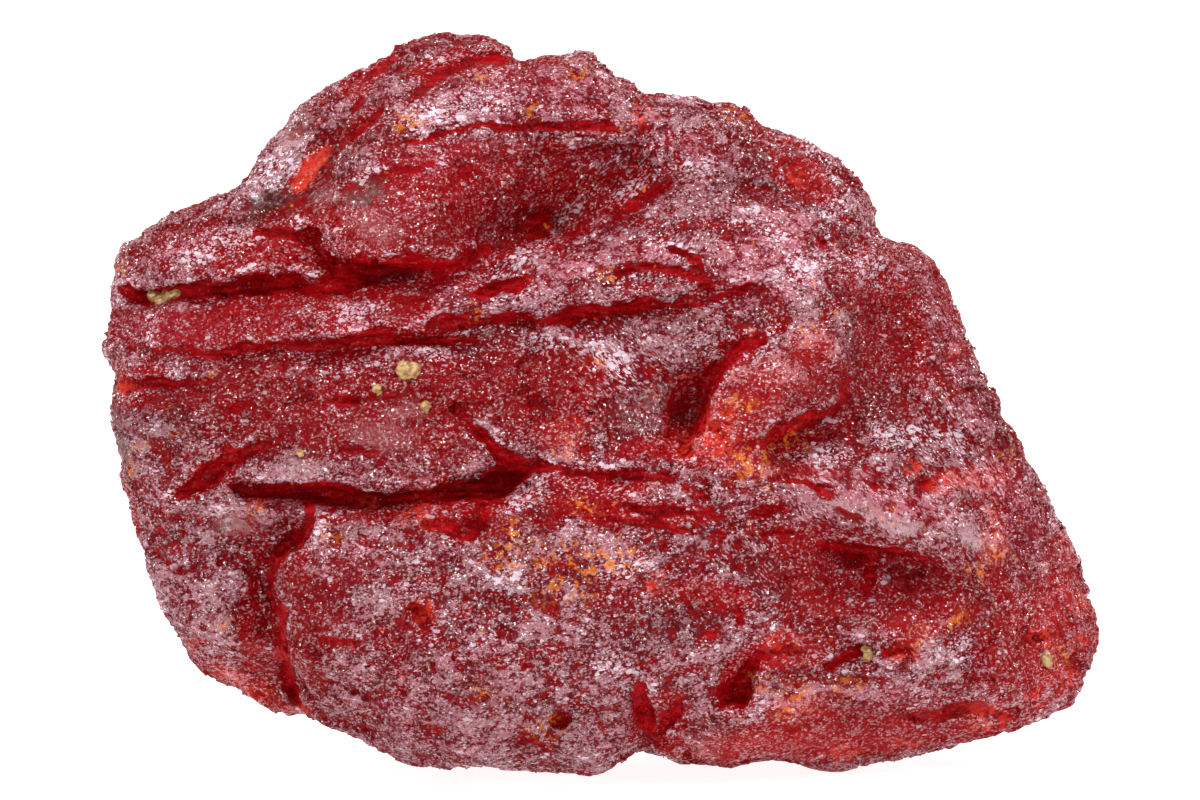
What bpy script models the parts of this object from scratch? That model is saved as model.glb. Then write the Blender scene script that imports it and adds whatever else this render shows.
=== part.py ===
"""A hand-sized specimen of massive realgar, one natural piece, standing on its worn underside.

The stone is drawn in millimetres as its finder would sketch it: an outline seen from the front,
heights of the front and the back above a middle surface, flat fracture faces, and the ledges,
gashes, mounds, hollows and pits that give it its look. X runs to the right, Y away from the
viewer and Z up. The drawing leans back by LEAN before the underside is worn flat at Z = 0.
"""

import math

import bmesh
import bpy
import numpy as np
from mathutils import Matrix, Vector, noise

MM = 0.001

# Driving dimensions, in millimetres
WIDTH = 50.1  # across the widest part of the outline
FRONT_DEPTH = 12.4  # from the middle surface to the highest part of the front
BACK_DEPTH = 12.8  # from the middle surface to the highest part of the back
LEAN = math.radians(5.0)  # how far the front leans back from upright
WORN = 0.5  # how much of the lowest points is worn away where the stone rests

# The edge of the stone is blunter the nearer this is to 0; at 1 it would be a plain ellipse
EDGE_POWER = 0.40
PROFILE_WIDTH = 0.4  # the typical half-width of the stone, as a share of its width

# How finely the surface is first made, and how many triangles it keeps
POINTS_AROUND = 640
RINGS = 110
VOXEL = 0.28
TRIANGLES = 9700

# The outline seen from the front, clockwise from the tip at the left
OUTLINE = [
    (-25.0, 21.0), (-24.5, 22.4), (-24.4, 23.3), (-24.6, 23.8), (-24.4, 24.4), (-24.4, 25.9),
    (-24.0, 26.4), (-23.0, 26.9), (-22.5, 27.4), (-21.0, 27.95), (-17.9, 29.2), (-17.5, 30.1),
    (-16.9, 30.8), (-16.5, 31.65), (-15.85, 32.0), (-14.65, 33.6), (-13.75, 34.4), (-12.5, 34.95),
    (-11.75, 35.2), (-11.1, 35.8), (-9.75, 36.35), (-8.1, 37.05), (-7.1, 36.8), (-6.0, 36.85),
    (-5.3, 36.6), (-4.65, 36.1), (-4.6, 35.45), (-3.5, 35.5), (-2.85, 35.85), (-2.0, 35.8),
    (-0.35, 36.2), (0.05, 35.65), (0.5, 35.1), (1.4, 34.7), (2.0, 33.85), (3.0, 33.9),
    (4.75, 33.8), (5.35, 33.3), (6.5, 33.45), (7.4, 33.15), (8.0, 32.4), (9.1, 32.1),
    (10.4, 31.5), (12.1, 30.5), (12.9, 29.75), (13.4, 28.9), (14.0, 27.45), (13.45, 27.1),
    (14.4, 26.6), (15.25, 26.2), (16.0, 26.2), (16.85, 25.55), (17.1, 24.75), (18.0, 23.1),
    (18.15, 22.6), (18.4, 21.75), (18.9, 20.6), (19.2, 19.4), (20.0, 18.85), (20.1, 17.4),
    (20.65, 17.1), (21.5, 15.35), (22.15, 14.6), (22.55, 13.85), (22.7, 13.15), (23.5, 12.0),
    (23.7, 11.1), (24.25, 10.4), (24.35, 9.0), (24.85, 8.2), (25.1, 7.5), (25.05, 6.5),
    (24.6, 5.6), (24.4, 4.75), (24.0, 3.65), (23.15, 3.05), (20.5, 2.15), (17.85, 1.35),
    (17.0, 1.0), (15.25, 0.6), (13.5, 0.45), (12.5, 0.1), (11.6, -0.05), (10.35, 0.15),
    (9.5, 0.6), (8.25, 0.7), (6.35, 0.25), (5.0, 0.6), (2.4, 0.85), (1.8, 1.15),
    (1.25, 0.65), (0.6, 0.2), (-0.1, -0.1), (-1.0, 0.05), (-3.0, 0.35), (-8.25, 0.2),
    (-9.6, 0.4), (-11.75, 1.65), (-14.1, 2.75), (-16.1, 2.9), (-17.25, 3.35), (-18.0, 4.0),
    (-20.25, 5.15), (-20.65, 5.8), (-21.0, 6.7), (-21.6, 7.4), (-22.0, 8.35), (-22.25, 9.75),
    (-22.6, 10.85), (-23.4, 12.35), (-23.45, 13.25), (-23.7, 13.9), (-23.95, 15.4), (-24.05, 16.5),
    (-24.5, 18.2), (-24.2, 19.6), (-24.05, 20.0), (-24.3, 20.4), (-24.8, 20.7),
]
MIDDLE = (0.0, 17.0)  # the point that the rings of the surface shrink to

# The middle surface, which carries the outline, lies further back to the right and at the top
MIDDLE_SLOPE_X, MIDDLE_SLOPE_Z = 0.07, 0.06

# Heights of the front above the middle surface: x, z, height
FRONT_HEIGHTS = [
    (-6.0, 8.5, 12.6), (-6.0, 2.5, 13.4), (-12.5, 9.0, 12.0), (-13.5, 5.0, 12.4), (0.0, 5.0, 13.4),
    (3.0, 9.0, 12.4), (-19.5, 9.0, 8.8), (-17.5, 6.0, 9.2), (-22.0, 13.0, 7.2), (-15.0, 17.0, 10.4),
    (-20.0, 17.0, 9.0), (-5.0, 18.5, 9.9), (0.0, 19.0, 10.4), (-20.0, 22.2, 9.2), (-10.0, 22.9, 10.8),
    (-2.0, 24.5, 10.9), (-21.5, 25.5, 9.2), (-18.5, 27.3, 7.8), (-16.0, 30.0, 5.6), (-14.0, 33.0, 5.8),
    (-11.0, 26.7, 12.4), (-9.0, 28.5, 11.6), (-12.6, 29.0, 10.0), (-7.5, 33.0, 9.8), (-2.5, 33.3, 9.0),
    (0.0, 34.5, 7.0), (-7.5, 36.0, 5.5), (-3.0, 28.5, 8.6), (3.0, 30.5, 9.4), (5.0, 26.5, 11.4),
    (9.0, 25.5, 12.3), (11.5, 28.5, 10.0), (8.0, 31.6, 7.2), (5.0, 32.6, 7.0), (10.0, 22.0, 12.3),
    (9.0, 18.5, 12.3), (11.6, 19.5, 11.2), (15.0, 23.5, 8.2), (17.5, 22.5, 6.0), (15.0, 18.5, 8.8),
    (19.0, 17.5, 6.0), (6.0, 15.0, 11.4), (10.0, 14.0, 11.8), (15.0, 12.5, 11.0), (19.5, 11.0, 9.2),
    (15.0, 9.0, 9.4), (10.0, 9.5, 11.0), (5.0, 10.5, 11.8), (22.5, 12.5, 5.0), (23.5, 8.5, 5.2),
    (22.0, 6.0, 8.0), (10.0, 2.5, 12.6), (15.0, 4.0, 12.0), (20.0, 4.5, 9.6), (12.5, 0.8, 11.6),
    (5.0, 3.0, 12.6), (-2.0, 0.8, 13.0),
]

# Heights of the back, seen through the stone: x, z, height
BACK_HEIGHTS = [
    (0.0, 15.0, 12.8), (-10.0, 17.0, 12.4), (10.0, 17.0, 11.8), (-19.0, 18.0, 9.6), (18.0, 13.0, 9.0),
    (-12.0, 29.0, 8.2), (0.0, 31.0, 8.4), (8.0, 28.0, 8.8), (20.0, 7.0, 8.6), (-16.0, 9.0, 10.0),
    (0.0, 5.0, 11.6), (12.0, 5.0, 11.0), (-5.0, 23.5, 11.6), (5.0, 22.5, 10.6), (-9.0, 5.0, 10.8),
    (-21.0, 24.0, 7.0), (15.0, 22.0, 7.0), (-4.0, 35.0, 6.0),
]
HEIGHT_SPREAD = 2.3  # how far each stated height reaches over the front
BACK_SPREAD = 3.4

# Flat fracture faces: a point on the face, and the way it looks out. What stands past it is cut back.
FACES = [
    ("left_end", (-23.6, 3.5, 16.0), (-0.85, 0.52, -0.10)),
    ("left_back", (-17.0, 8.6, 18.0), (-0.62, 0.75, 0.12)),
    ("back_cleavage", (-3.0, 11.2, 15.0), (0.06, 1.0, 0.10)),
    ("back_top", (-3.0, 9.6, 28.0), (-0.08, 0.72, 0.70)),
    ("back_right", (14.0, 9.4, 15.0), (0.55, 0.82, 0.16)),
    ("back_foot", (2.0, 10.6, 4.5), (-0.04, 0.80, -0.60)),
    ("right_shoulder", (17.0, -4.8, 20.0), (0.80, -0.55, 0.22)),
    ("right_end", (23.2, 4.5, 9.0), (0.80, 0.58, -0.20)),
    ("upper_left", (-16.2, -4.4, 30.3), (-0.55, -0.72, 0.42)),
    ("upper_right_back", (10.5, 6.0, 27.5), (0.48, 0.60, 0.64)),
    ("foot_left", (-17.5, -4.2, 4.3), (-0.45, -0.42, -0.80)),
    ("foot_right", (19.5, -3.4, 3.2), (0.30, -0.50, -0.82)),
]
FACE_STRENGTH = 0.85  # how much of what stands past a face is cut back

# How the drawn features meet the surface
LEDGE_WALL = 0.24  # how wide the wall of a ledge is, seen from the front
END_FADE = 1.2  # a ledge or a gash fades out over this length at each end
GASH_NARROWING = 0.45  # the width of a gash at its tips, as a share of its full width
GASH_FLOOR = 1.15  # above 1 a gash has a flat floor
SWELLING_POWER = 1.5  # above 1 a mound or hollow eases into the surface round it
WANDER = 0.30  # how far the drawn lines wander, as a break does
RIM_CALM = 0.35  # the share of the rough lumps that the outline keeps

# Ledges on the front: the surface drops on the right-hand side of the line's travel and comes back
# over the reach. Line, drop, reach
LEDGES = [
    ("mound_foot", [(-14.4, 27.6), (-13.2, 26.0), (-11.5, 25.3), (-8.5, 24.9),
                    (-6.5, 25.2), (-4.6, 26.1)], 2.6, 1.3),
    ("hollow_rim", [(3.2, 29.7), (1.0, 28.5), (-1.2, 27.2), (-3.5, 25.9), (-5.4, 25.2)], 1.6, 1.6),
    ("upper_slab", [(-23.6, 24.2), (-20.0, 24.3), (-17.0, 24.5), (-14.0, 24.6)], 0.9, 1.2),
    ("top_line", [(-9.3, 31.4), (-6.0, 31.8), (-2.6, 32.15), (0.6, 32.2)], 0.6, 1.3),
    ("middle_slab", [(-19.1, 20.9), (-14.3, 21.3), (-9.4, 21.7), (-3.4, 22.7),
                     (2.2, 23.3), (7.4, 24.3)], 0.8, 2.2),
    ("left_step", [(-20.8, 13.6), (-19.7, 14.9), (-18.2, 15.9), (-16.8, 16.4), (-15.2, 16.6)], 1.0, 1.2),
    ("lower_slab", [(-18.4, 14.7), (-15.5, 14.2), (-12.0, 13.9), (-7.5, 14.1), (-3.3, 15.2)], 1.1, 0.7),
    ("mound_flank", [(-14.3, 13.1), (-14.1, 12.4), (-14.5, 11.2), (-15.4, 10.6), (-15.9, 9.4),
                     (-15.9, 8.0), (-15.6, 6.5), (-15.3, 5.0), (-14.6, 3.4)], 2.7, 2.2),
    ("wedge_edge", [(7.4, 16.0), (9.0, 17.0), (10.4, 17.7), (12.0, 18.3)], 2.2, 0.9),
    ("wedge_side", [(12.0, 18.2), (12.3, 20.0), (12.3, 22.0), (12.8, 24.0), (13.3, 26.0)], 1.3, 3.0),
    ("pink_ridge", [(6.9, 21.3), (6.1, 19.5), (5.4, 18.0), (4.8, 16.5), (4.5, 15.5)], 1.6, 1.4),
    ("fan_roll", [(10.5, 12.9), (13.0, 11.5), (15.0, 10.7), (17.5, 9.9), (20.0, 10.3)], 1.5, 1.5),
    ("foot_block", [(5.6, 3.2), (7.0, 3.7), (7.6, 5.0), (8.2, 6.4), (11.5, 6.0), (15.4, 6.5)], -0.8, 1.6),
    ("arch", [(0.0, 24.3), (1.2, 24.9), (2.5, 25.2), (4.0, 24.9), (5.1, 24.3)], 0.7, 0.7),
]

# Gashes on the front: line, width, depth
GASHES = [
    ("upper_gash", [(-24.3, 23.9), (-22.5, 23.6), (-20.0, 24.0), (-17.0, 24.1), (-15.5, 24.3),
                    (-13.5, 24.0), (-12.3, 24.3), (-10.6, 24.6), (-8.5, 24.6)], 0.95, 1.7),
    ("middle_start", [(-22.3, 20.6), (-21.0, 20.9), (-19.8, 21.0), (-19.0, 20.8)], 0.5, 0.6),
    ("middle_gash", [(-19.3, 20.8), (-17.6, 20.7), (-16.3, 21.1), (-14.3, 21.1), (-12.2, 21.5),
                     (-10.2, 21.7), (-7.6, 21.6), (-5.6, 21.9)], 0.75, 1.3),
    ("long_gash", [(-8.3, 22.2), (-6.6, 22.5), (-3.4, 22.5), (-0.6, 22.7), (0.9, 23.1),
                   (4.1, 23.3), (5.8, 23.8), (7.4, 24.3)], 0.85, 1.5),
    ("left_gash", [(-24.6, 19.4), (-23.0, 19.3), (-21.0, 19.3), (-19.0, 19.5)], 0.7, 1.2),
    ("step_gash", [(-20.8, 13.6), (-19.7, 14.7), (-18.3, 15.7), (-16.8, 16.3), (-15.5, 16.5)], 0.7, 0.8),
    ("lower_gash", [(-18.4, 14.4), (-17.5, 14.0), (-15.5, 13.9), (-13.5, 13.7), (-12.0, 13.5),
                    (-10.0, 13.5), (-7.5, 13.7), (-5.5, 14.0), (-4.2, 14.4), (-3.2, 15.0)], 1.3, 2.0),
    ("branch_gash", [(-6.7, 17.8), (-6.0, 16.8), (-5.3, 15.9), (-4.2, 15.4), (-3.2, 15.0)], 0.65, 1.0),
    ("centre_line", [(-3.0, 15.1), (-1.3, 14.8), (2.4, 14.8), (3.8, 14.4)], 0.45, 0.7),
    ("centre_line_low", [(-0.5, 13.7), (1.4, 13.2), (4.0, 13.1), (6.0, 12.8)], 0.4, 0.5),
    ("top_gash", [(-12.8, 31.2), (-11.9, 31.9), (-10.8, 32.9)], 0.6, 0.8),
    ("top_gash_high", [(-11.5, 34.3), (-10.2, 35.3)], 0.6, 0.7),
    ("top_slot", [(-9.3, 33.7), (-8.0, 34.6), (-6.9, 35.1), (-6.0, 35.4), (-4.4, 35.4)], 0.7, 1.1),
    ("top_gash_low", [(-12.6, 28.9), (-10.9, 29.2), (-9.6, 29.6), (-8.5, 30.2)], 0.5, 0.6),
    ("rim_gash", [(1.1, 27.9), (2.1, 28.6), (3.5, 29.3)], 0.6, 0.9),
    ("flank_gash", [(-14.4, 12.9), (-14.3, 12.3), (-14.8, 11.4), (-15.7, 10.8), (-16.0, 9.4), (-15.9, 8.0),
                    (-15.8, 6.9), (-15.4, 5.4), (-15.0, 4.2), (-14.5, 3.2)], 0.8, 1.1),
    ("foot_crack", [(1.9, 4.5), (2.1, 3.5), (2.3, 2.4), (2.1, 1.2), (2.0, 0.2)], 0.95, 2.6),
    ("foot_crack_right", [(4.2, 3.7), (3.4, 2.4), (2.7, 1.2)], 0.9, 1.8),
    ("block_gash", [(7.9, 6.0), (7.4, 4.5), (6.8, 3.6), (5.8, 3.3)], 0.9, 1.2),
    ("right_foot_gash", [(15.2, 2.9), (16.5, 3.2), (18.0, 3.4), (19.5, 3.1), (21.5, 2.8)], 0.75, 0.9),
    ("right_gash", [(20.2, 7.1), (21.5, 6.9), (22.9, 7.3)], 0.7, 0.7),
    ("block_top_gash", [(11.5, 5.7), (12.8, 6.1), (15.3, 6.3)], 0.7, 0.9),
    ("block_top_left", [(8.2, 6.2), (10.1, 6.0)], 0.6, 0.6),
    ("slab_line", [(-13.3, 18.6), (-10.2, 18.6)], 0.45, 0.5),
    ("slab_line_left", [(-18.2, 18.2), (-16.8, 18.5)], 0.45, 0.4),
    ("mound_smile", [(-13.9, 6.9), (-12.9, 6.7), (-12.0, 6.9)], 0.45, 0.4),
    ("mound_nick", [(-9.2, 8.8), (-8.6, 8.2), (-8.4, 7.4)], 0.5, 0.5),
    ("wing_valley", [(-13.2, 33.2), (-13.8, 31.2), (-15.0, 28.8), (-16.8, 27.2)], 1.9, 1.0),
]

# Mounds and hollows on the front: middle, half-lengths along and across, turn in degrees, height
SWELLINGS = [
    ("upper_mound", (-10.7, 26.9), (3.6, 1.9), -12.0, 0.7),
    ("great_hollow", (-2.2, 28.3), (6.6, 3.0), 27.0, -2.5),
    ("glassy_hollow", (-3.0, 27.1), (1.3, 0.9), 10.0, -0.8),
    ("pink_hollow", (4.6, 17.9), (1.2, 2.2), -20.0, -1.0),
    ("fan_ridge", (13.6, 12.8), (8.5, 1.6), -16.0, 0.8),
    ("lower_mound", (-8.5, 7.5), (7.5, 6.0), 5.0, 0.8),
    ("wedge_block", (9.4, 18.9), (2.6, 2.2), 30.0, 0.5),
    ("scaly_hollow", (3.0, 18.6), (4.0, 2.6), -25.0, -0.8),
    ("slab_hollow", (-8.0, 17.5), (5.5, 2.2), -4.0, -0.6),
    ("right_hollow", (14.6, 21.0), (1.6, 3.6), 8.0, -0.7),
    ("block_hollow", (11.8, 5.9), (3.6, 0.9), 2.0, -0.6),
]

# Small round pits on the front: middle, radius, depth
PITS = [
    ("foot_pit", (-2.0, 2.95), 0.60, 1.0),
    ("fan_pit", (16.4, 14.4), 0.55, 0.9),
    ("shoulder_pit", (9.85, 29.6), 0.85, 0.7),
    ("shoulder_pit_low", (10.75, 26.3), 0.42, 0.6),
]

# The back carries its own ledges, gashes and swellings, seen through the stone
BACK_LEDGES = [
    ("back_high_ledge", [(-20.0, 25.5), (-12.0, 26.3), (-3.0, 27.6), (6.0, 26.9), (12.0, 25.8)], 1.2, 2.4),
    ("back_slab", [(-21.5, 19.0), (-13.0, 19.3), (-4.0, 20.2), (3.0, 20.0)], 0.9, 2.6),
    ("back_low_ledge", [(-6.0, 10.5), (3.0, 11.2), (11.0, 12.8), (19.0, 13.2)], 1.3, 2.2),
    ("back_flank", [(6.5, 21.0), (7.4, 16.5), (6.6, 13.0)], 0.9, 2.5),
]
BACK_GASHES = [
    ("back_gash", [(-21.0, 18.8), (-14.0, 19.1), (-6.0, 19.9), (-1.0, 20.2)], 0.8, 1.1),
    ("back_gash_low", [(-1.0, 10.8), (6.0, 11.8), (12.0, 12.9), (17.0, 13.0)], 0.8, 1.2),
    ("back_crack", [(-9.0, 13.5), (-10.5, 9.0), (-9.6, 4.0)], 0.7, 1.0),
    ("back_gash_high", [(-10.0, 26.4), (-3.0, 27.4), (2.0, 27.3)], 0.7, 0.9),
]
BACK_SWELLINGS = [
    ("back_bowl", (-12.0, 14.5), (5.5, 3.0), 10.0, -1.2),
    ("back_knob", (3.0, 6.0), (5.0, 3.4), -8.0, 0.9),
    ("back_scoop", (13.0, 18.0), (4.0, 3.0), -35.0, -1.1),
    ("back_lump", (-4.0, 31.0), (5.0, 2.4), 6.0, 0.8),
]

# The mineral parts into thin layers that run round the whole stone
LAYER_DIRECTION = Vector((-0.07, 0.22, 1.0)).normalized()
LAYER_SPACING = 2.7
LAYER_DEPTH = 0.34  # the drop from one layer to the next on the sides and the back
LAYER_SHARE_FRONT = 0.35  # of that drop on the front, which has its own ledges

LAYER_UNEVENNESS = 0.32  # how far the layers' edges shift to and fro, in spacings
LAYER_BEAT, LAYER_START = 2.3, 0.7  # how fast they shift, and where the shifting starts
LAYER_WAVER = 0.45  # how far the lumps push an edge up or down, in spacings
LAYER_EDGE = 0.86  # the share of a layer that rises, before it drops to the next

# Broken lumps all over: size and height of the coarse and the fine ones
LUMP_SIZE, LUMP_HEIGHT = 6.5, 0.5
LUMP_SMOOTHNESS, LUMP_STEP, LUMP_LEVELS = 0.9, 2.1, 4  # of the finer lumps on the coarse ones
CHIP_SIZE, CHIP_HEIGHT = 3.4, 0.30
CHIP_STRETCH = (0.75, 1.0, 1.6)  # chips are longer along the layers than across them
CHIP_LEAN = 1.8  # how far a chip leans
CHIP_GROOVE = 0.35  # how deep the groove between two chips is
CHIP_GROOVE_STEEPNESS = 3.0
CHIP_SHUFFLE = 7.3  # gives each chip a lean of its own

# How the features fade towards the outline, on a scale from 0 there to 1 at the middle
DRAWN_FADE, DRAWN_FADE_POWER = 0.35, 0.7
LAYERS_FADE = 0.5  # past this the front has only its share of the layers
ROUGH_FADE = 0.5
SIDE_LOOKS = (0.15, 0.6)  # between these, drawn features turn from across the surface to straight in

# The outline is restored from the inner to the outer of these places, 1 being the outline itself
OUTLINE_BAND = (0.55, 0.98)
OUTLINE_EVENING = 2  # over how many neighbours on each side the correction is evened out


def smooth_step(low, high, value):
    """0 below low, 1 above high, and a smooth rise between them."""
    share = np.clip((value - low) / (high - low), 0.0, 1.0)
    return share * share * (3.0 - 2.0 * share)


def outline_points(count):
    """The outline as count points, evenly spaced along it."""
    corners = np.array(OUTLINE + OUTLINE[:1])
    along = np.concatenate([[0.0], np.cumsum(np.linalg.norm(np.diff(corners, axis=0), axis=1))])
    places = np.linspace(0.0, along[-1], count, endpoint=False)
    return np.stack([np.interp(places, along, corners[:, k]) for k in range(2)], axis=1)


def edge_profile(rings):
    """How far out and how high each ring lies, from the middle to the outline, evenly spaced."""
    angle = np.linspace(0.0, math.pi / 2, 4000)
    out, up = np.sin(angle), np.cos(angle) ** EDGE_POWER
    half_width, half_depth = PROFILE_WIDTH * WIDTH, FRONT_DEPTH
    steps = np.hypot(np.diff(out) * half_width, np.diff(up) * half_depth)
    along = np.concatenate([[0.0], np.cumsum(steps)])
    places = np.linspace(0.0, along[-1], rings + 1)
    return np.interp(places, along, out), np.interp(places, along, up)


def blended_height(x, z, heights, spread):
    """The stated heights, blended over the surface."""
    total, weights = np.zeros_like(x), np.zeros_like(x)
    for at_x, at_z, height in heights:
        weight = np.exp(-((x - at_x) ** 2 + (z - at_z) ** 2) / (2 * spread**2)) + 1e-9
        total += weight * height
        weights += weight
    return total / weights


def near_line(x, z, line):
    """Distance to a line, the side (1 on the right-hand side of its travel), and a fade at its ends."""
    points = np.array(line)
    lengths = np.linalg.norm(np.diff(points, axis=0), axis=1)
    best = np.full_like(x, np.inf)
    side, along = np.ones_like(x), np.zeros_like(x)
    start = 0.0
    for (ax, az), (bx, bz), length in zip(points[:-1], points[1:], lengths):
        dx, dz = (bx - ax) / length, (bz - az) / length
        place = np.clip((x - ax) * dx + (z - az) * dz, 0.0, length)
        distance = np.hypot(x - ax - place * dx, z - az - place * dz)
        closer = distance < best
        best = np.where(closer, distance, best)
        side = np.where(closer, np.where(dx * (z - az) - dz * (x - ax) < 0, 1.0, -1.0), side)
        along = np.where(closer, start + place, along)
        start += length
    fade_length = min(END_FADE, 0.3 * start)
    fade = smooth_step(0.0, fade_length, along) * smooth_step(0.0, fade_length, start - along)
    return best, side, fade


def ledge_height(x, z, line, drop, reach):
    distance, side, fade = near_line(x, z, line)
    step = smooth_step(-LEDGE_WALL / 2, LEDGE_WALL / 2, distance * side)
    return -drop * fade * step * np.exp(-np.maximum(distance * side, 0.0) / reach)


def gash_height(x, z, line, width, depth):
    distance, _, fade = near_line(x, z, line)
    half = 0.5 * width * (GASH_NARROWING + (1.0 - GASH_NARROWING) * fade)
    return -depth * fade * np.clip(GASH_FLOOR * (1.0 - distance / half), 0.0, 1.0)


def swelling_height(x, z, middle, half_sizes, turn, height):
    c, s = math.cos(math.radians(turn)), math.sin(math.radians(turn))
    along = ((x - middle[0]) * c + (z - middle[1]) * s) / half_sizes[0]
    across = (-(x - middle[0]) * s + (z - middle[1]) * c) / half_sizes[1]
    return height * np.clip(1.0 - along**2 - across**2, 0.0, 1.0) ** SWELLING_POWER


def pit_height(x, z, middle, radius, depth):
    distance = np.hypot(x - middle[0], z - middle[1])
    return -depth * np.sqrt(np.clip(1.0 - (distance / radius) ** 2, 0.0, 1.0))


def drawn_relief(x, z, ledges, gashes, swellings, pits=()):
    """The drawn features of one side, as a height to add to it."""
    height = np.zeros_like(x)
    for _, line, drop, reach in ledges:
        height += ledge_height(x, z, line, drop, reach)
    for _, line, width, depth in gashes:
        height += gash_height(x, z, line, width, depth)
    for _, middle, half_sizes, turn, swell in swellings:
        height += swelling_height(x, z, middle, half_sizes, turn, swell)
    for _, middle, radius, depth in pits:
        height += pit_height(x, z, middle, radius, depth)
    return height


def per_point(function, places):
    """One value of a noise function for each place."""
    return np.array([function(Vector(place)) for place in places.tolist()])


def lumps(place):
    return noise.fractal(
        place / LUMP_SIZE, LUMP_SMOOTHNESS, LUMP_STEP, LUMP_LEVELS, noise_basis="PERLIN_ORIGINAL"
    )


def chips(place):
    """Flat tilted chips: each cell of a broken pattern leans its own way."""
    place = Vector(CHIP_STRETCH) * place / CHIP_SIZE
    distances, centres = noise.voronoi(place)
    lean = noise.cell_vector(centres[0] * CHIP_SHUFFLE) - Vector((0.5, 0.5, 0.5))
    edge = min(1.0, CHIP_GROOVE_STEEPNESS * (distances[1] - distances[0]))
    return CHIP_LEAN * lean.dot(place - centres[0]) - CHIP_GROOVE * (1.0 - edge)


def layers(places, wander):
    """A sawtooth that rises through each layer and drops at its edge, with layers of unequal thickness."""
    level = places @ np.array(LAYER_DIRECTION) / LAYER_SPACING
    level = level + LAYER_UNEVENNESS * np.sin(level * LAYER_BEAT + LAYER_START) + LAYER_WAVER * wander
    rise = level - np.floor(level)
    return rise - 0.5 - smooth_step(LAYER_EDGE, 1.0, rise)


def cut_to_faces(places):
    """Moves what stands past each fracture face back towards it."""
    for _, point, way in FACES:
        way = np.array(way) / np.linalg.norm(way)
        past = np.maximum((places - np.array(point)) @ way, 0.0)
        places = places - FACE_STRENGTH * past[:, None] * way
    return places


def rough_body():
    """Points and faces of the body before its features: rings from the front's middle over the
    outline to the back's middle. Also which side each point is on, and how near the outline."""
    rim = outline_points(POINTS_AROUND)
    out, up = edge_profile(RINGS)
    middle = np.array(MIDDLE)
    places, sides, inward = [], [], []
    for side, ring_numbers in ((-1.0, range(RINGS + 1)), (1.0, range(RINGS - 1, -1, -1))):
        heights, spread = (FRONT_HEIGHTS, HEIGHT_SPREAD) if side < 0 else (BACK_HEIGHTS, BACK_SPREAD)
        for j in ring_numbers:
            spots = rim if j else rim[:1]
            x, z = (middle + (spots - middle) * out[j]).T
            y = MIDDLE_SLOPE_X * x + MIDDLE_SLOPE_Z * (z - middle[1])
            y = y + side * up[j] * blended_height(x, z, heights, spread)
            places.append(np.stack([x, y, z], axis=1))
            sides.append(np.full(len(x), side))
            inward.append(np.full(len(x), up[j]))
    return np.concatenate(places), np.concatenate(sides), np.concatenate(inward)


def body_mesh(places):
    """The rings as one closed mesh."""
    mesh = bmesh.new()
    points = [mesh.verts.new(place) for place in places.tolist()]
    first, last = points[0], points[-1]
    rings = [points[1 + k * POINTS_AROUND:1 + (k + 1) * POINTS_AROUND] for k in range(2 * RINGS - 1)]
    for i in range(POINTS_AROUND):
        n = (i + 1) % POINTS_AROUND
        mesh.faces.new((first, rings[0][n], rings[0][i]))
        mesh.faces.new((last, rings[-1][i], rings[-1][n]))
        for inner, outer in zip(rings[:-1], rings[1:]):
            mesh.faces.new((inner[i], inner[n], outer[n], outer[i]))
    bmesh.ops.recalc_face_normals(mesh, faces=mesh.faces)
    return mesh


def point_normals(mesh):
    mesh.normal_update()
    return np.array([vert.normal for vert in mesh.verts])


def add_features(mesh, places, sides, inward):
    """Moves the points of the body to carve the drawn features, the layers and the broken lumps."""
    normals = point_normals(mesh)
    lump = per_point(lumps, places)
    chip = per_point(chips, places)
    x, z = places[:, 0] + WANDER * lump, places[:, 2] - WANDER * lump
    front = drawn_relief(x, z, LEDGES, GASHES, SWELLINGS, PITS)
    back = drawn_relief(x, z, BACK_LEDGES, BACK_GASHES, BACK_SWELLINGS)
    drawn = np.where(sides < 0, front, back) * np.clip(inward / DRAWN_FADE, 0.0, 1.0) ** DRAWN_FADE_POWER
    layer_share = np.where((sides < 0) & (inward > LAYERS_FADE), LAYER_SHARE_FRONT, 1.0)
    rough = LUMP_HEIGHT * lump + CHIP_HEIGHT * chip + LAYER_DEPTH * layer_share * layers(places, lump)
    # Drawn features go straight into the side they are drawn on, except near the outline
    straight = np.zeros_like(places)
    straight[:, 1] = sides
    share = smooth_step(*SIDE_LOOKS, np.abs(normals[:, 1]))[:, None]
    way = normals * (1 - share) + straight * share
    way /= np.linalg.norm(way, axis=1)[:, None]
    quiet_rim = RIM_CALM + (1.0 - RIM_CALM) * smooth_step(0.0, ROUGH_FADE, inward)
    return places + way * drawn[:, None] + normals * (rough * quiet_rim)[:, None]


def evaluated_copy(body):
    """The mesh of an object with its modifiers applied, as a new mesh."""
    graph = bpy.context.evaluated_depsgraph_get()
    return bpy.data.meshes.new_from_object(body.evaluated_get(graph))


def made_even(body):
    """One clean skin over the carved body, then as few triangles as keep its form."""
    skin = body.modifiers.new("skin", "REMESH")
    skin.mode = "VOXEL"
    skin.voxel_size = VOXEL * MM
    fewer = body.modifiers.new("fewer", "DECIMATE")
    skinned = evaluated_copy(body)
    fewer.ratio = TRIANGLES / sum(len(face.vertices) - 2 for face in skinned.polygons)
    return evaluated_copy(body)


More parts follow.
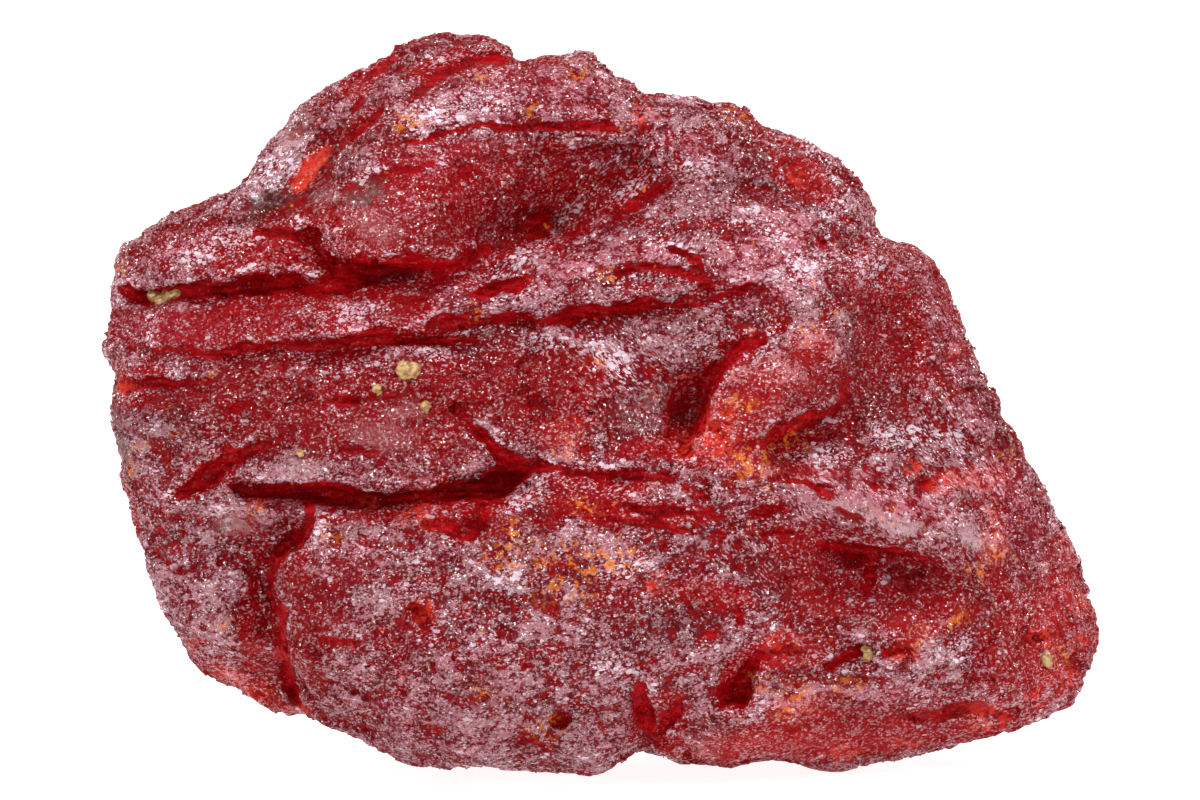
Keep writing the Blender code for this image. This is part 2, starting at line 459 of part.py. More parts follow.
def worn_flat(mesh):
    """Centres the stone over the origin and cuts off its lowest points at Z = 0."""
    corners = np.array([vert.co for vert in mesh.verts])
    low, high = corners.min(axis=0), corners.max(axis=0)
    bmesh.ops.translate(mesh, verts=mesh.verts, vec=(0.0, 0.0, -low[2] - WORN * MM))
    everything = mesh.verts[:] + mesh.edges[:] + mesh.faces[:]
    bmesh.ops.bisect_plane(mesh, geom=everything, plane_co=(0, 0, 0), plane_no=(0, 0, -1), clear_outer=True)
    bmesh.ops.holes_fill(mesh, edges=[edge for edge in mesh.edges if edge.is_boundary], sides=0)
    bmesh.ops.triangulate(mesh, faces=[face for face in mesh.faces if len(face.verts) > 3])
    bmesh.ops.translate(mesh, verts=mesh.verts, vec=(-(low[0] + high[0]) / 2, -(low[1] + high[1]) / 2, 0.0))


def kept_to_outline(places):
    """Moves the edge of the stone in or out, so that its outline seen from the front is the one drawn."""
    rim = outline_points(POINTS_AROUND) - np.array(MIDDLE)
    reach = np.linalg.norm(rim, axis=1)
    way = rim / reach[:, None]
    rings = places[1:-1].reshape(2 * RINGS - 1, POINTS_AROUND, 3)
    offsets = rings[:, :, [0, 2]] - np.array(MIDDLE)
    out = np.einsum("jik,ik->ji", offsets, way) / reach
    need = 1.0 / out.max(axis=0)
    shifts = range(-OUTLINE_EVENING, OUTLINE_EVENING + 1)
    need = np.mean([np.roll(need, shift) for shift in shifts], axis=0)
    scale = 1.0 + (need - 1.0) * smooth_step(*OUTLINE_BAND, out)
    rings[:, :, [0, 2]] = np.array(MIDDLE) + offsets * scale[:, :, None]
    return places


def realgar_material():
    material = bpy.data.materials.new("realgar")
    material.use_nodes = True
    shader = material.node_tree.nodes["Principled BSDF"]
    shader.inputs["Base Color"].default_value = (0.30, 0.035, 0.045, 1.0)
    shader.inputs["Roughness"].default_value = 0.38
    shader.inputs["Metallic"].default_value = 0.0
    shader.inputs["IOR"].default_value = 2.6
    return material


def realgar():
    """The whole stone, as one object."""
    places, sides, inward = rough_body()
    places = cut_to_faces(places)
    plain = body_mesh(places)
    places = add_features(plain, places, sides, inward)
    plain.free()
    carved = body_mesh(kept_to_outline(places))
    drawn_width = np.ptp(np.array(OUTLINE)[:, 0])
    size = Matrix.Scale(MM * WIDTH / drawn_width, 4)
    bmesh.ops.transform(carved, matrix=Matrix.Rotation(-LEAN, 4, "X") @ size, verts=carved.verts)
    rough = bpy.data.objects.new("realgar", bpy.data.meshes.new("realgar"))
    bpy.context.scene.collection.objects.link(rough)
    carved.to_mesh(rough.data)
    carved.free()
    reduced = made_even(rough)
    rough.modifiers.clear()
    stone = bmesh.new()
    stone.from_mesh(reduced)
    worn_flat(stone)
    stone.to_mesh(rough.data)
    stone.free()
    bpy.data.meshes.remove(reduced)
    rough.data.materials.append(realgar_material())
    return rough


def main():
    for item in list(bpy.data.objects):
        bpy.data.objects.remove(item)
    realgar()


main()
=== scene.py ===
import math

import bmesh
import bpy
import numpy as np
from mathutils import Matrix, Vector
from mathutils.bvhtree import BVHTree


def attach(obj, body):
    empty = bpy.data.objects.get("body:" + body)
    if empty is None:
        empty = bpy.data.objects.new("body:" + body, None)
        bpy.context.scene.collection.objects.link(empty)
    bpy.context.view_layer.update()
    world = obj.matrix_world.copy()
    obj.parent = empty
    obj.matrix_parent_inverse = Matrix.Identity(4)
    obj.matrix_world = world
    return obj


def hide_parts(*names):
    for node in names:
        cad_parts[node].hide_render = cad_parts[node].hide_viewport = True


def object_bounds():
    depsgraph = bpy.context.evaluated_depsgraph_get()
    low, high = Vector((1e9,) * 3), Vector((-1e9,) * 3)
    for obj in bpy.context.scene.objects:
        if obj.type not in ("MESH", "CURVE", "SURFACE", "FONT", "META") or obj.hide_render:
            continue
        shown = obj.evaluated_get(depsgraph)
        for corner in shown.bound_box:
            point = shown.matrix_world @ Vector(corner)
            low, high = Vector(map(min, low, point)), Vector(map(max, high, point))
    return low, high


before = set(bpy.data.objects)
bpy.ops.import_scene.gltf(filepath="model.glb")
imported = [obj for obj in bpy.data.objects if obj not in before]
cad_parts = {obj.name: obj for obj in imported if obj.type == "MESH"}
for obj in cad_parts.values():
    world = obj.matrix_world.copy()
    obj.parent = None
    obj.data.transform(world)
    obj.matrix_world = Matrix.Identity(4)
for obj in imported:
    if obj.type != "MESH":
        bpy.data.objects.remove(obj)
cadBox = [list(corner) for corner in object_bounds()]
mm = 0.001
print("frame loaded")

# The stone's front is drawn flat, in millimetres: x to the right and z up, on a face that leans back.
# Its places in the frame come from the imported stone, whose top and middle are these on the drawing.
drawing = {
    "lean": math.radians(5.0),
    "top": 37.05,
    "middle": 0.05,
}

stone = {
    "firstVoxel": 0.22,  # mm, as the next one is
    "voxel": 0.17,
    "rounding": 3,  # rounds of smoothing that take the flat facets off
    "broadRounds": 20,  # rounds after which a place faces as the ground around it does
    "hollowRounds": 80,  # rounds of smoothing that show what lies deep
    "dipRounds": 22,
    "fineRounds": 4,
    "frontFrom": (0.10, 0.40),  # how far the ground turns to the viewer where the front begins and is full
    "frontLean": 0.09,
    "lipHeight": 0.12,  # mm
    "raggedness": [(2.2, 0.22), (0.8, 0.17), (0.35, 0.10)],  # how far edges wander, and over what length
    "mostTriangles": 192000,
}

# Gashes between the layers of the front: each point's place and the gash's width there
gashes = [
    [(-23.9, 24.0, 0.4), (-23.0, 23.7, 0.6), (-22.4, 23.7, 0.7), (-20.5, 24.0, 0.6), (-19.5, 24.05, 0.7),
     (-18.0, 24.1, 0.65), (-16.9, 24.25, 0.8), (-16.0, 24.4, 1.0), (-15.0, 24.4, 0.9), (-14.0, 24.1, 0.8),
     (-13.25, 24.2, 1.1), (-12.5, 24.6, 1.5), (-11.5, 25.0, 1.6), (-10.75, 25.1, 1.0), (-10.0, 25.15, 0.8),
     (-9.0, 25.1, 0.8), (-7.75, 25.05, 0.7), (-6.9, 25.2, 0.5), (-6.25, 25.6, 0.5), (-5.5, 26.0, 0.5)],
    [(-16.9, 26.8, 0.2), (-16.25, 26.95, 0.4), (-15.25, 26.95, 0.5), (-14.1, 26.95, 0.5),
     (-13.8, 26.2, 0.4), (-13.2, 25.4, 0.6), (-12.6, 24.8, 0.9)],
    [(-22.0, 21.0, 0.2), (-21.0, 21.1, 0.2), (-20.0, 21.1, 0.3), (-19.4, 20.95, 0.3), (-18.75, 20.8, 0.4),
     (-18.0, 20.9, 0.4), (-17.0, 21.1, 0.4), (-16.0, 21.25, 0.45), (-15.0, 21.3, 0.4), (-14.0, 21.25, 0.4),
     (-13.0, 21.35, 0.4), (-12.0, 21.55, 0.5), (-10.9, 21.75, 0.6), (-10.0, 21.6, 0.4), (-9.0, 21.6, 0.4),
     (-7.5, 21.65, 0.3), (-6.0, 21.75, 0.2)],
    [(-8.5, 22.2, 0.4), (-7.5, 22.4, 0.5), (-6.75, 22.55, 0.35), (-5.5, 22.65, 0.15)],
    [(-8.0, 22.7, 0.15), (-6.0, 22.65, 0.2), (-5.0, 22.65, 0.25), (-4.0, 22.65, 0.25), (-3.0, 22.6, 0.35),
     (-2.25, 22.55, 0.5), (-1.5, 22.65, 0.75), (-0.75, 22.85, 0.6), (0.0, 22.95, 0.45), (1.0, 23.05, 0.45),
     (2.0, 23.25, 0.6), (2.75, 23.2, 0.4), (4.0, 23.4, 0.2), (5.0, 23.55, 0.2), (5.75, 23.8, 0.3),
     (6.5, 24.05, 0.4), (7.25, 24.25, 0.35), (7.75, 24.4, 0.15)],
    [(-24.1, 19.5, 0.7), (-23.0, 19.35, 0.5), (-22.25, 19.4, 0.5), (-21.0, 19.4, 0.4), (-20.0, 19.5, 0.25),
     (-18.9, 19.6, 0.15)],
    [(-13.25, 18.65, 0.25), (-12.5, 18.65, 0.35), (-11.25, 18.7, 0.3), (-10.0, 18.85, 0.15)],
    [(-18.0, 18.3, 0.25), (-17.1, 18.5, 0.2)],
    [(-12.85, 16.1, 0.25), (-12.0, 16.15, 0.3), (-10.75, 16.05, 0.15)],
    [(-20.75, 13.85, 0.5), (-20.0, 14.4, 0.7), (-19.25, 15.1, 0.8), (-18.25, 15.8, 0.6),
     (-17.25, 16.2, 0.5), (-16.5, 16.45, 0.35), (-15.75, 16.6, 0.15)],
    [(-18.2, 14.55, 0.2), (-17.5, 14.25, 0.5), (-16.5, 14.15, 0.7), (-15.5, 14.15, 0.8), (-14.5, 14.1, 1.0),
     (-13.75, 14.05, 1.2), (-12.9, 13.95, 1.2), (-12.0, 13.7, 0.6), (-11.0, 13.7, 0.45),
     (-10.0, 13.75, 0.5), (-9.0, 13.8, 0.6), (-8.0, 13.9, 0.7), (-7.0, 14.0, 0.8), (-6.0, 14.15, 1.0),
     (-5.1, 14.4, 1.2), (-4.4, 14.8, 1.2), (-3.7, 15.2, 1.0), (-2.9, 15.4, 0.45)],
    [(-6.9, 18.15, 0.2), (-6.6, 17.7, 0.35), (-6.1, 17.05, 0.45), (-5.6, 16.5, 0.55), (-5.0, 16.0, 0.7),
     (-4.3, 15.55, 0.9)],
    [(-2.75, 15.2, 0.3), (-1.9, 15.15, 0.3), (-1.0, 14.95, 0.35), (0.0, 14.95, 0.3), (1.0, 15.05, 0.5),
     (2.0, 15.0, 0.3), (2.75, 14.95, 0.25), (3.75, 14.8, 0.15)],
    [(0.0, 13.75, 0.2), (1.0, 13.5, 0.25), (2.25, 13.35, 0.4), (3.1, 13.25, 0.35), (4.25, 13.05, 0.3),
     (5.25, 13.0, 0.25), (6.1, 12.9, 0.15)],
    [(-0.5, 12.7, 0.15), (1.25, 12.8, 0.25), (2.0, 12.85, 0.45), (2.75, 12.7, 0.4), (3.4, 12.4, 0.2),
     (4.5, 12.2, 0.15)],
    [(-3.1, 12.6, 0.2), (-2.25, 12.9, 0.15), (-1.5, 13.2, 0.1)],
    [(-8.5, 12.5, 0.5), (-7.5, 12.6, 0.5), (-6.5, 12.25, 0.8), (-5.75, 12.6, 0.7), (-5.5, 13.2, 0.5)],
    [(7.75, 13.0, 0.3), (8.5, 13.1, 0.45), (9.1, 13.05, 0.2)],
    [(8.1, 12.05, 0.2), (8.9, 12.1, 0.25), (9.5, 12.05, 0.15)],
    [(5.75, 12.2, 0.2), (6.5, 12.1, 0.15)],
    [(8.25, 14.6, 0.15), (9.25, 14.65, 0.2), (10.0, 14.6, 0.2), (10.75, 14.4, 0.4), (11.0, 14.0, 0.4)],
    [(11.25, 13.4, 0.15), (12.0, 13.05, 0.2), (12.9, 12.7, 0.15)],
    [(4.1, 14.3, 0.2), (4.75, 13.9, 0.2), (5.5, 13.65, 0.15)],
    [(10.75, 11.35, 0.3), (11.75, 11.2, 0.6), (12.75, 11.0, 0.6), (14.0, 11.0, 0.4), (15.25, 11.0, 0.35),
     (16.5, 10.6, 0.25)],
    [(13.4, 10.5, 0.4), (13.5, 9.85, 0.5), (13.2, 9.0, 0.25)],
    [(7.25, 16.6, 0.15), (7.75, 16.55, 0.5), (8.25, 16.6, 0.8), (9.0, 16.95, 1.0), (9.75, 17.35, 0.9),
     (10.4, 17.75, 0.7), (11.1, 18.0, 0.4), (12.0, 18.35, 0.25), (12.1, 19.0, 0.35), (12.15, 19.7, 0.35)],
    [(7.6, 21.5, 0.5), (7.25, 21.2, 0.7), (6.75, 21.0, 0.5), (6.25, 20.5, 0.8), (5.6, 19.85, 0.9),
     (5.1, 19.1, 0.9), (5.0, 18.35, 0.9), (4.85, 17.6, 0.9), (4.5, 16.85, 0.6), (4.25, 16.2, 0.5)],
    [(-9.4, 33.75, 0.2), (-9.0, 34.0, 0.4), (-8.5, 34.45, 0.35), (-7.75, 34.85, 0.5), (-7.0, 35.2, 0.4),
     (-6.25, 35.5, 0.4), (-5.25, 35.7, 0.5), (-4.65, 35.5, 0.4)],
    [(-11.6, 34.4, 0.25), (-11.25, 34.7, 0.4), (-10.65, 35.2, 0.45), (-10.25, 35.5, 0.25)],
    [(-12.8, 31.35, 0.25), (-12.4, 31.75, 0.45), (-11.75, 32.1, 0.4), (-11.1, 32.7, 0.45),
     (-10.8, 33.1, 0.25)],
    [(-12.2, 33.2, 0.25), (-11.9, 33.6, 0.3)],
    [(-9.3, 31.45, 0.2), (-8.75, 31.5, 0.35), (-8.0, 31.55, 0.4), (-7.25, 31.8, 0.25), (-6.5, 32.0, 0.3),
     (-5.75, 32.1, 0.3), (-4.75, 32.2, 0.25), (-4.0, 32.25, 0.2), (-2.75, 32.2, 0.2), (-2.2, 32.1, 0.3),
     (-1.25, 32.2, 0.4), (-0.5, 32.35, 0.5), (0.5, 32.25, 0.5)],
    [(-12.75, 29.0, 0.25), (-11.75, 29.25, 0.25), (-10.75, 29.5, 0.2), (-10.0, 29.9, 0.25),
     (-9.25, 29.85, 0.3), (-8.5, 30.3, 0.3)],
    [(-6.9, 29.9, 0.2), (-6.0, 29.8, 0.3)],
    [(0.85, 27.75, 0.3), (2.2, 28.6, 0.4), (3.5, 29.35, 0.25)],
    [(-6.5, 23.75, 0.3), (-5.75, 23.85, 0.5), (-5.0, 24.1, 0.6), (-4.25, 24.2, 0.6), (-3.75, 24.4, 0.5),
     (-3.5, 24.6, 0.2)],
    [(1.0, 24.9, 0.4), (1.5, 25.15, 0.4), (2.25, 25.25, 0.35), (3.0, 25.25, 0.3), (4.0, 24.95, 0.35),
     (4.75, 24.7, 0.45), (5.5, 24.4, 0.25)],
    [(3.25, 26.1, 0.2), (4.0, 25.85, 0.3), (4.5, 25.5, 0.25), (4.95, 25.0, 0.2)],
    [(6.75, 8.2, 0.45), (7.0, 7.7, 0.4)],
    [(5.0, 7.2, 0.25), (5.5, 7.35, 0.35)],
    [(7.85, 6.35, 0.5), (7.5, 5.6, 0.7), (7.0, 4.85, 1.0), (6.6, 4.2, 1.0), (6.0, 3.8, 0.5)],
    [(2.0, 4.6, 0.5), (2.05, 4.0, 0.8), (2.05, 3.35, 0.9), (2.15, 2.7, 0.7), (2.3, 1.85, 0.5),
     (2.5, 1.1, 0.3)],
    [(3.95, 3.8, 0.25), (3.85, 3.35, 0.6), (3.4, 2.85, 0.7), (3.0, 2.35, 0.4), (2.75, 1.7, 0.25)],
    [(8.25, 6.35, 0.4), (9.5, 6.45, 0.35), (10.0, 6.35, 0.25)],
    [(11.3, 5.6, 0.5), (11.9, 6.0, 0.5), (12.5, 6.35, 0.45), (13.0, 6.6, 0.3)],
    [(14.0, 6.2, 0.4), (14.75, 6.45, 0.4), (15.2, 6.4, 0.2)],
    [(14.9, 2.9, 0.15), (15.75, 3.0, 0.35), (17.0, 3.1, 0.5), (18.1, 3.3, 0.5), (19.25, 3.15, 0.4),
     (20.4, 2.9, 0.15)],
    [(20.8, 6.75, 0.25), (21.5, 7.0, 0.4), (22.25, 7.05, 0.4), (22.9, 7.0, 0.2)],
    [(-14.4, 13.45, 0.4), (-14.2, 12.85, 0.5), (-14.35, 12.2, 0.6), (-14.85, 11.6, 0.7), (-15.5, 11.2, 0.7),
     (-15.9, 10.6, 0.6), (-16.1, 9.85, 0.5), (-16.2, 9.1, 0.45), (-15.85, 8.5, 0.4), (-15.4, 8.1, 0.45),
     (-15.6, 7.35, 0.4), (-15.75, 6.6, 0.5), (-15.6, 5.85, 0.6), (-15.5, 5.1, 0.6), (-15.4, 4.35, 0.5),
     (-15.0, 3.6, 0.4), (-14.25, 3.0, 0.25)],
    [(-13.6, 6.95, 0.3), (-13.0, 6.9, 0.25), (-12.1, 6.9, 0.3)],
    [(-9.25, 8.6, 0.3), (-8.6, 8.2, 0.45), (-8.5, 7.6, 0.35)],
    [(-1.0, 16.25, 0.3), (-0.4, 16.3, 0.25)],
    [(-3.7, 2.2, 0.25), (-3.1, 1.7, 0.25), (-2.65, 1.55, 0.2)],
    [(-16.0, 27.9, 0.2), (-15.2, 28.1, 0.25), (-14.6, 28.5, 0.15)],
]

# Steps between the blocks: the line, how far the ground on its left drops, and how wide that drop is
steps = [
    ([(4.2, 16.0), (4.7, 17.2), (5.3, 18.6), (6.0, 20.2), (7.3, 21.3), (8.6, 21.9), (10.0, 22.4)], 0.9, 2.6),
    ([(12.5, 19.6), (12.3, 18.4), (11.0, 17.6), (9.4, 17.0), (7.7, 16.5)], 1.0, 1.8),
    ([(-5.9, 11.0), (-5.6, 12.6), (-5.4, 13.6), (-4.5, 14.4), (-3.4, 15.0), (-1.5, 15.3)], 0.6, 1.2),
    ([(-14.6, 2.9), (-15.2, 5.2), (-15.4, 7.2), (-15.7, 9.2), (-15.4, 10.8), (-14.0, 12.4)], 1.0, 2.8),
    ([(-9.6, 33.7), (-8.4, 34.7), (-6.6, 35.6), (-4.7, 35.7)], 0.6, 1.4),
    ([(4.2, 31.6), (1.2, 31.2), (-2.0, 31.0), (-5.0, 30.8), (-8.0, 30.4)], 0.7, 2.6),
    ([(-6.0, 25.3), (-3.2, 26.2), (-1.2, 27.2), (0.8, 28.4), (3.0, 29.5), (5.2, 30.0)], 0.8, 2.8),
    ([(17.3, 10.0), (14.6, 10.9), (12.0, 11.2), (10.4, 11.5)], 0.6, 1.5),
    ([(6.6, 2.8), (7.2, 4.2), (7.7, 5.6), (8.0, 6.8)], 0.8, 1.1),
    ([(8.2, 4.6), (10.5, 4.7), (12.8, 4.6), (14.6, 4.2)], 0.7, 1.6),
    ([(14.0, 27.3), (13.6, 26.0), (13.4, 23.4), (12.8, 20.6), (12.2, 18.8)], 0.6, 3.2),
    ([(-13.2, 27.2), (-13.0, 29.0), (-12.9, 30.8), (-12.2, 32.2)], 0.5, 2.0),
    ([(-7.5, 25.0), (-10.0, 25.4), (-12.0, 25.4), (-13.4, 26.0), (-14.2, 27.0)], 0.6, 1.4),
    ([(-3.3, 22.5), (-6.5, 21.9), (-10.0, 21.7), (-14.0, 21.3), (-18.5, 20.9)], 0.4, 1.6),
]

# Round pits on the front: middle, radius, depth
pits = [
    ((-2.15, 2.95), 0.6, 0.9), ((10.75, 26.5), 0.4, 0.5), ((5.8, 17.25), 0.4, 0.4),
    ((16.1, 14.55), 0.5, 0.7), ((-17.7, 18.35), 0.35, 0.3), ((-9.0, 8.4), 0.35, 0.4),
    ((-8.6, 7.7), 0.3, 0.4), ((13.6, 14.3), 0.35, 0.4), ((-3.0, 27.3), 1.0, 0.45), ((-3.1, 18.5), 0.7, 0.4),
]

# What the front's colours follow: middle, half-lengths along and across, turn in degrees
glossyPatches = [
    ((-13.45, 28.75), (0.8, 0.5), 0), ((-11.1, 27.1), (1.7, 0.8), -20), ((-17.75, 12.4), (1.5, 0.7), 8),
    ((18.2, 11.7), (1.6, 0.6), -18), ((13.6, 12.9), (4.6, 0.45), -16), ((-14.7, 15.2), (1.3, 0.5), 0),
    ((2.9, 18.4), (2.2, 1.1), 20), ((-10.6, 16.8), (2.0, 0.7), -10), ((-9.6, 18.0), (1.2, 0.4), -8),
    ((-15.2, 31.8), (1.2, 1.2), 60),
]
# Where painted highlights gather: more painted glints and more painted sheen
glarePatches = [
    ((-15.9, 30.1), (1.1, 1.9), -35), ((-18.1, 26.4), (1.8, 0.9), 25), ((-2.6, 26.8), (3.4, 0.6), 42),
    ((1.6, 28.9), (1.6, 0.8), 30), ((4.9, 30.1), (1.2, 0.7), 0), ((9.7, 25.0), (1.8, 1.0), 20),
    ((3.5, 26.1), (1.4, 0.6), -30), ((8.6, 26.6), (0.8, 0.6), 0), ((0.6, 20.4), (2.0, 1.0), -52),
    ((17.4, 16.6), (1.0, 0.5), -30), ((-7.0, 33.0), (4.0, 1.0), 8), ((5.6, 21.0), (1.6, 0.5), -40),
    ((-3.8, 13.6), (1.5, 0.8), 20), ((-12.0, 20.2), (2.0, 0.4), 5), ((-8.0, 20.9), (1.2, 0.4), 0),
    ((1.5, 10.5), (1.6, 0.6), 10), ((0.4, 5.8), (1.4, 0.8), 0), ((-4.4, 9.6), (1.4, 0.8), 0),
    ((-12.3, 23.0), (2.6, 0.4), 5), ((-19.0, 13.0), (0.9, 0.5), 0), ((13.1, 25.0), (0.9, 1.2), 30),
    ((17.8, 6.3), (0.7, 0.9), 0), ((-3.0, 21.4), (1.6, 0.5), 5), ((11.2, 28.0), (1.2, 0.5), 20),
    ((3.8, 34.0), (1.0, 0.3), 0), ((11.0, 15.8), (2.2, 0.4), 0), ((-11.4, 29.5), (1.4, 0.6), 20),
    ((-20.0, 25.8), (2.2, 0.7), 15), ((14.8, 17.0), (2.0, 0.7), 0), ((7.2, 27.8), (1.0, 0.5), 30),
    ((-14.0, 12.0), (0.8, 0.6), 0),
]
pinkPatches = [
    ((-4.0, 33.8), (6.6, 1.8), 5), ((-8.0, 30.6), (4.4, 1.0), 5), ((-10.4, 27.6), (2.6, 1.4), -10),
    ((-20.4, 26.4), (3.0, 0.8), 20), ((-21.0, 22.0), (3.4, 1.2), 0), ((0.5, 25.4), (3.6, 1.0), 10),
    ((-5.6, 24.0), (4.0, 0.5), 4), ((16.9, 24.0), (1.2, 3.6), 16), ((8.0, 26.0), (3.0, 3.0), 0),
    ((13.4, 14.0), (5.4, 0.9), -14), ((20.8, 13.6), (1.6, 4.2), 20), ((18.2, 19.6), (1.0, 3.6), 26),
    ((5.2, 31.0), (2.6, 0.8), -10), ((-13.0, 22.6), (5.0, 0.5), 2), ((12.6, 4.0), (4.0, 0.8), 0),
    ((-12.4, 10.6), (1.8, 1.0), 0), ((-1.0, 30.4), (2.6, 0.5), 6),
]
rosePatches = [
    ((8.6, 19.0), (2.8, 1.8), 10), ((9.0, 1.4), (7.0, 1.3), 4), ((22.8, 8.0), (1.4, 4.6), -12),
    ((8.0, 15.4), (4.4, 0.7), -6), ((9.2, 6.4), (1.8, 1.0), 0), ((18.5, 14.6), (2.2, 0.8), 10),
    ((-17.4, 4.2), (2.8, 0.8), -35), ((5.4, 17.4), (0.9, 2.6), -12), ((-1.8, 16.6), (1.6, 0.9), 0),
    ((10.4, 21.0), (1.6, 1.4), 0), ((9.8, 3.6), (2.2, 0.9), 0), ((15.4, 7.4), (1.8, 0.9), 0),
    ((6.4, 20.2), (0.8, 1.0), 0), ((12.0, 31.0), (2.4, 0.7), -30), ((19.6, 11.6), (0.9, 1.6), 0),
]
umberPatches = [
    ((-16.4, 28.2), (1.9, 0.7), 20), ((-23.9, 17.0), (0.6, 3.0), 8), ((-11.6, 28.6), (1.4, 0.8), 15),
]
redPatches = [
    ((-5.8, 27.0), (5.6, 2.2), 12), ((-2.6, 29.2), (3.6, 1.4), 8), ((-11.5, 25.2), (3.6, 1.0), 0),
    ((-16.2, 7.2), (1.7, 4.4), 4), ((9.6, 17.1), (2.8, 0.9), 22), ((4.2, 17.8), (1.1, 2.2), -10),
    ((12.4, 10.9), (4.0, 1.1), -10), ((9.3, 6.3), (2.6, 0.9), 0), ((17.3, 2.9), (2.8, 0.6), 4),
    ((-14.9, 26.2), (1.8, 1.1), 0), ((-6.2, 12.6), (3.0, 1.0), 0), ((-2.4, 18.3), (2.6, 1.1), -14),
    ((-15.2, 23.9), (6.4, 0.6), 0), ((10.0, 29.4), (2.0, 1.1), -30), ((-19.2, 15.0), (2.6, 0.8), 36),
    ((-15.2, 10.2), (1.1, 2.2), -20), ((20.5, 7.2), (2.2, 0.7), 0), ((3.2, 16.2), (2.6, 0.7), 0),
    ((-4.6, 30.4), (5.4, 0.9), 5), ((-6.5, 19.2), (2.6, 1.2), -40), ((14.0, 22.0), (0.7, 3.0), 8),
    ((6.6, 20.9), (1.6, 0.9), 30), ((13.4, 9.8), (1.0, 1.4), 0), ((6.9, 4.7), (1.1, 2.0), -24),
    ((-7.2, 13.5), (5.0, 0.6), 4), ((-12.0, 12.9), (2.2, 0.4), 0), ((-10.0, 24.6), (4.6, 0.7), 0),
    ((1.5, 13.2), (4.8, 0.8), -4), ((17.0, 8.4), (2.6, 0.9), -8), ((3.0, 2.6), (1.6, 2.0), 0),
    ((-19.0, 21.6), (3.4, 0.5), 0), ((-22.4, 19.8), (1.8, 0.5), 0), ((19.4, 9.8), (0.8, 1.6), 20),
    ((5.6, 9.0), (2.4, 0.8), -10), ((-11.6, 34.6), (1.6, 0.7), 40), ((-7.0, 35.4), (2.6, 0.7), 14),
    ((-12.2, 32.0), (1.4, 0.6), 40), ((11.4, 19.2), (2.6, 1.2), 20), ((-21.2, 18.6), (3.6, 0.5), 4),
]
# Wide grounds that are redder than the rest
crimsonPatches = [
    ((-13.0, 26.6), (11.0, 2.4), 8), ((-15.0, 22.6), (10.0, 1.6), 2), ((-13.0, 18.4), (10.0, 3.4), -4),
    ((-8.0, 29.0), (7.0, 2.6), 8), ((14.4, 21.4), (2.6, 5.4), 12), ((8.0, 17.4), (5.0, 2.2), 12),
    ((14.0, 9.4), (7.0, 2.8), -14), ((21.4, 6.4), (3.4, 4.2), 0), ((-3.0, 19.0), (4.4, 3.4), -20),
    ((12.0, 2.2), (8.0, 1.6), 4), ((-15.6, 8.0), (2.6, 5.6), 4), ((0.0, 14.6), (4.0, 1.2), 0),
]
# Grounds where the stone is darker
darkPatches = [
    ((-13.0, 18.2), (10.0, 3.6), -4), ((-4.6, 19.4), (4.6, 3.4), -20), ((2.2, 18.2), (3.4, 1.6), 20),
    ((13.6, 21.0), (2.0, 4.6), 12), ((-15.4, 7.6), (2.0, 5.4), 4), ((13.0, 9.6), (6.0, 2.4), -12),
    ((10.6, 18.6), (4.0, 1.6), 24), ((-6.4, 12.4), (3.6, 0.8), 0), ((-6.0, 26.8), (5.4, 1.8), 12),
    ((3.0, 22.6), (4.0, 1.4), 10), ((-12.0, 31.4), (1.6, 3.6), -40), ((3.4, 7.6), (2.6, 1.6), 0),
    ((-21.5, 17.6), (3.0, 2.6), 0), ((7.6, 29.6), (3.0, 1.6), -20), ((-16.0, 28.0), (3.0, 0.9), 20),
    ((20.0, 18.4), (1.6, 4.0), 28),
]
# Where the grains are drawn out along slopes that rise or fall to the right
risingPatches = [
    ((-1.6, 27.6), (6.0, 2.4), 38), ((3.6, 25.8), (2.6, 1.2), 30), ((-14.8, 30.4), (2.2, 3.4), -30),
    ((9.0, 31.0), (4.0, 2.6), -20),
]
fallingPatches = [
    ((1.0, 20.4), (4.0, 2.6), -40), ((14.5, 12.4), (7.5, 2.4), -22), ((18.5, 16.6), (4.0, 3.4), -40),
    ((8.0, 10.6), (4.0, 1.6), -20),
]
# Stains: middle, radius
orangeStains = [
    ((-9.5, 32.3), 1.0), ((7.0, 32.8), 0.9), ((-1.3, 34.9), 0.8), ((-5.5, 34.8), 0.6), ((10.2, 21.9), 0.7),
    ((-5.8, 4.6), 0.6), ((7.8, 4.9), 0.7), ((12.2, 4.5), 1.0), ((9.4, 3.9), 1.4), ((-1.5, 10.2), 2.4),
    ((-23.8, 15.4), 1.0), ((-18.4, 7.6), 0.8), ((20.3, 15.7), 0.7), ((19.6, 11.2), 0.9),
    ((18.7, 10.1), 0.7), ((7.0, 18.3), 0.8), ((0.0, 20.8), 0.7), ((-2.0, 16.2), 0.8), ((-16.8, 13.1), 0.6),
    ((-19.2, 19.9), 0.5), ((-22.7, 16.4), 0.5), ((-21.6, 17.9), 0.5), ((-21.0, 16.8), 0.5),
    ((-2.7, 2.6), 1.0), ((-4.0, 11.8), 1.2), ((14.0, 12.7), 0.9), ((11.8, 22.8), 0.5), ((15.6, 6.9), 0.8),
    ((-3.2, 33.0), 0.6), ((0.5, 24.6), 0.8), ((17.6, 7.6), 0.8), ((23.0, 6.0), 0.8), ((-24.2, 25.0), 0.7),
    ((-6.2, 22.9), 0.4), ((9.8, 16.6), 0.9), ((1.0, 10.8), 1.2), ((-4.6, 10.8), 1.2), ((-0.6, 13.4), 0.8),
    ((7.6, 15.6), 1.4), ((-13.0, 12.0), 0.6),
]
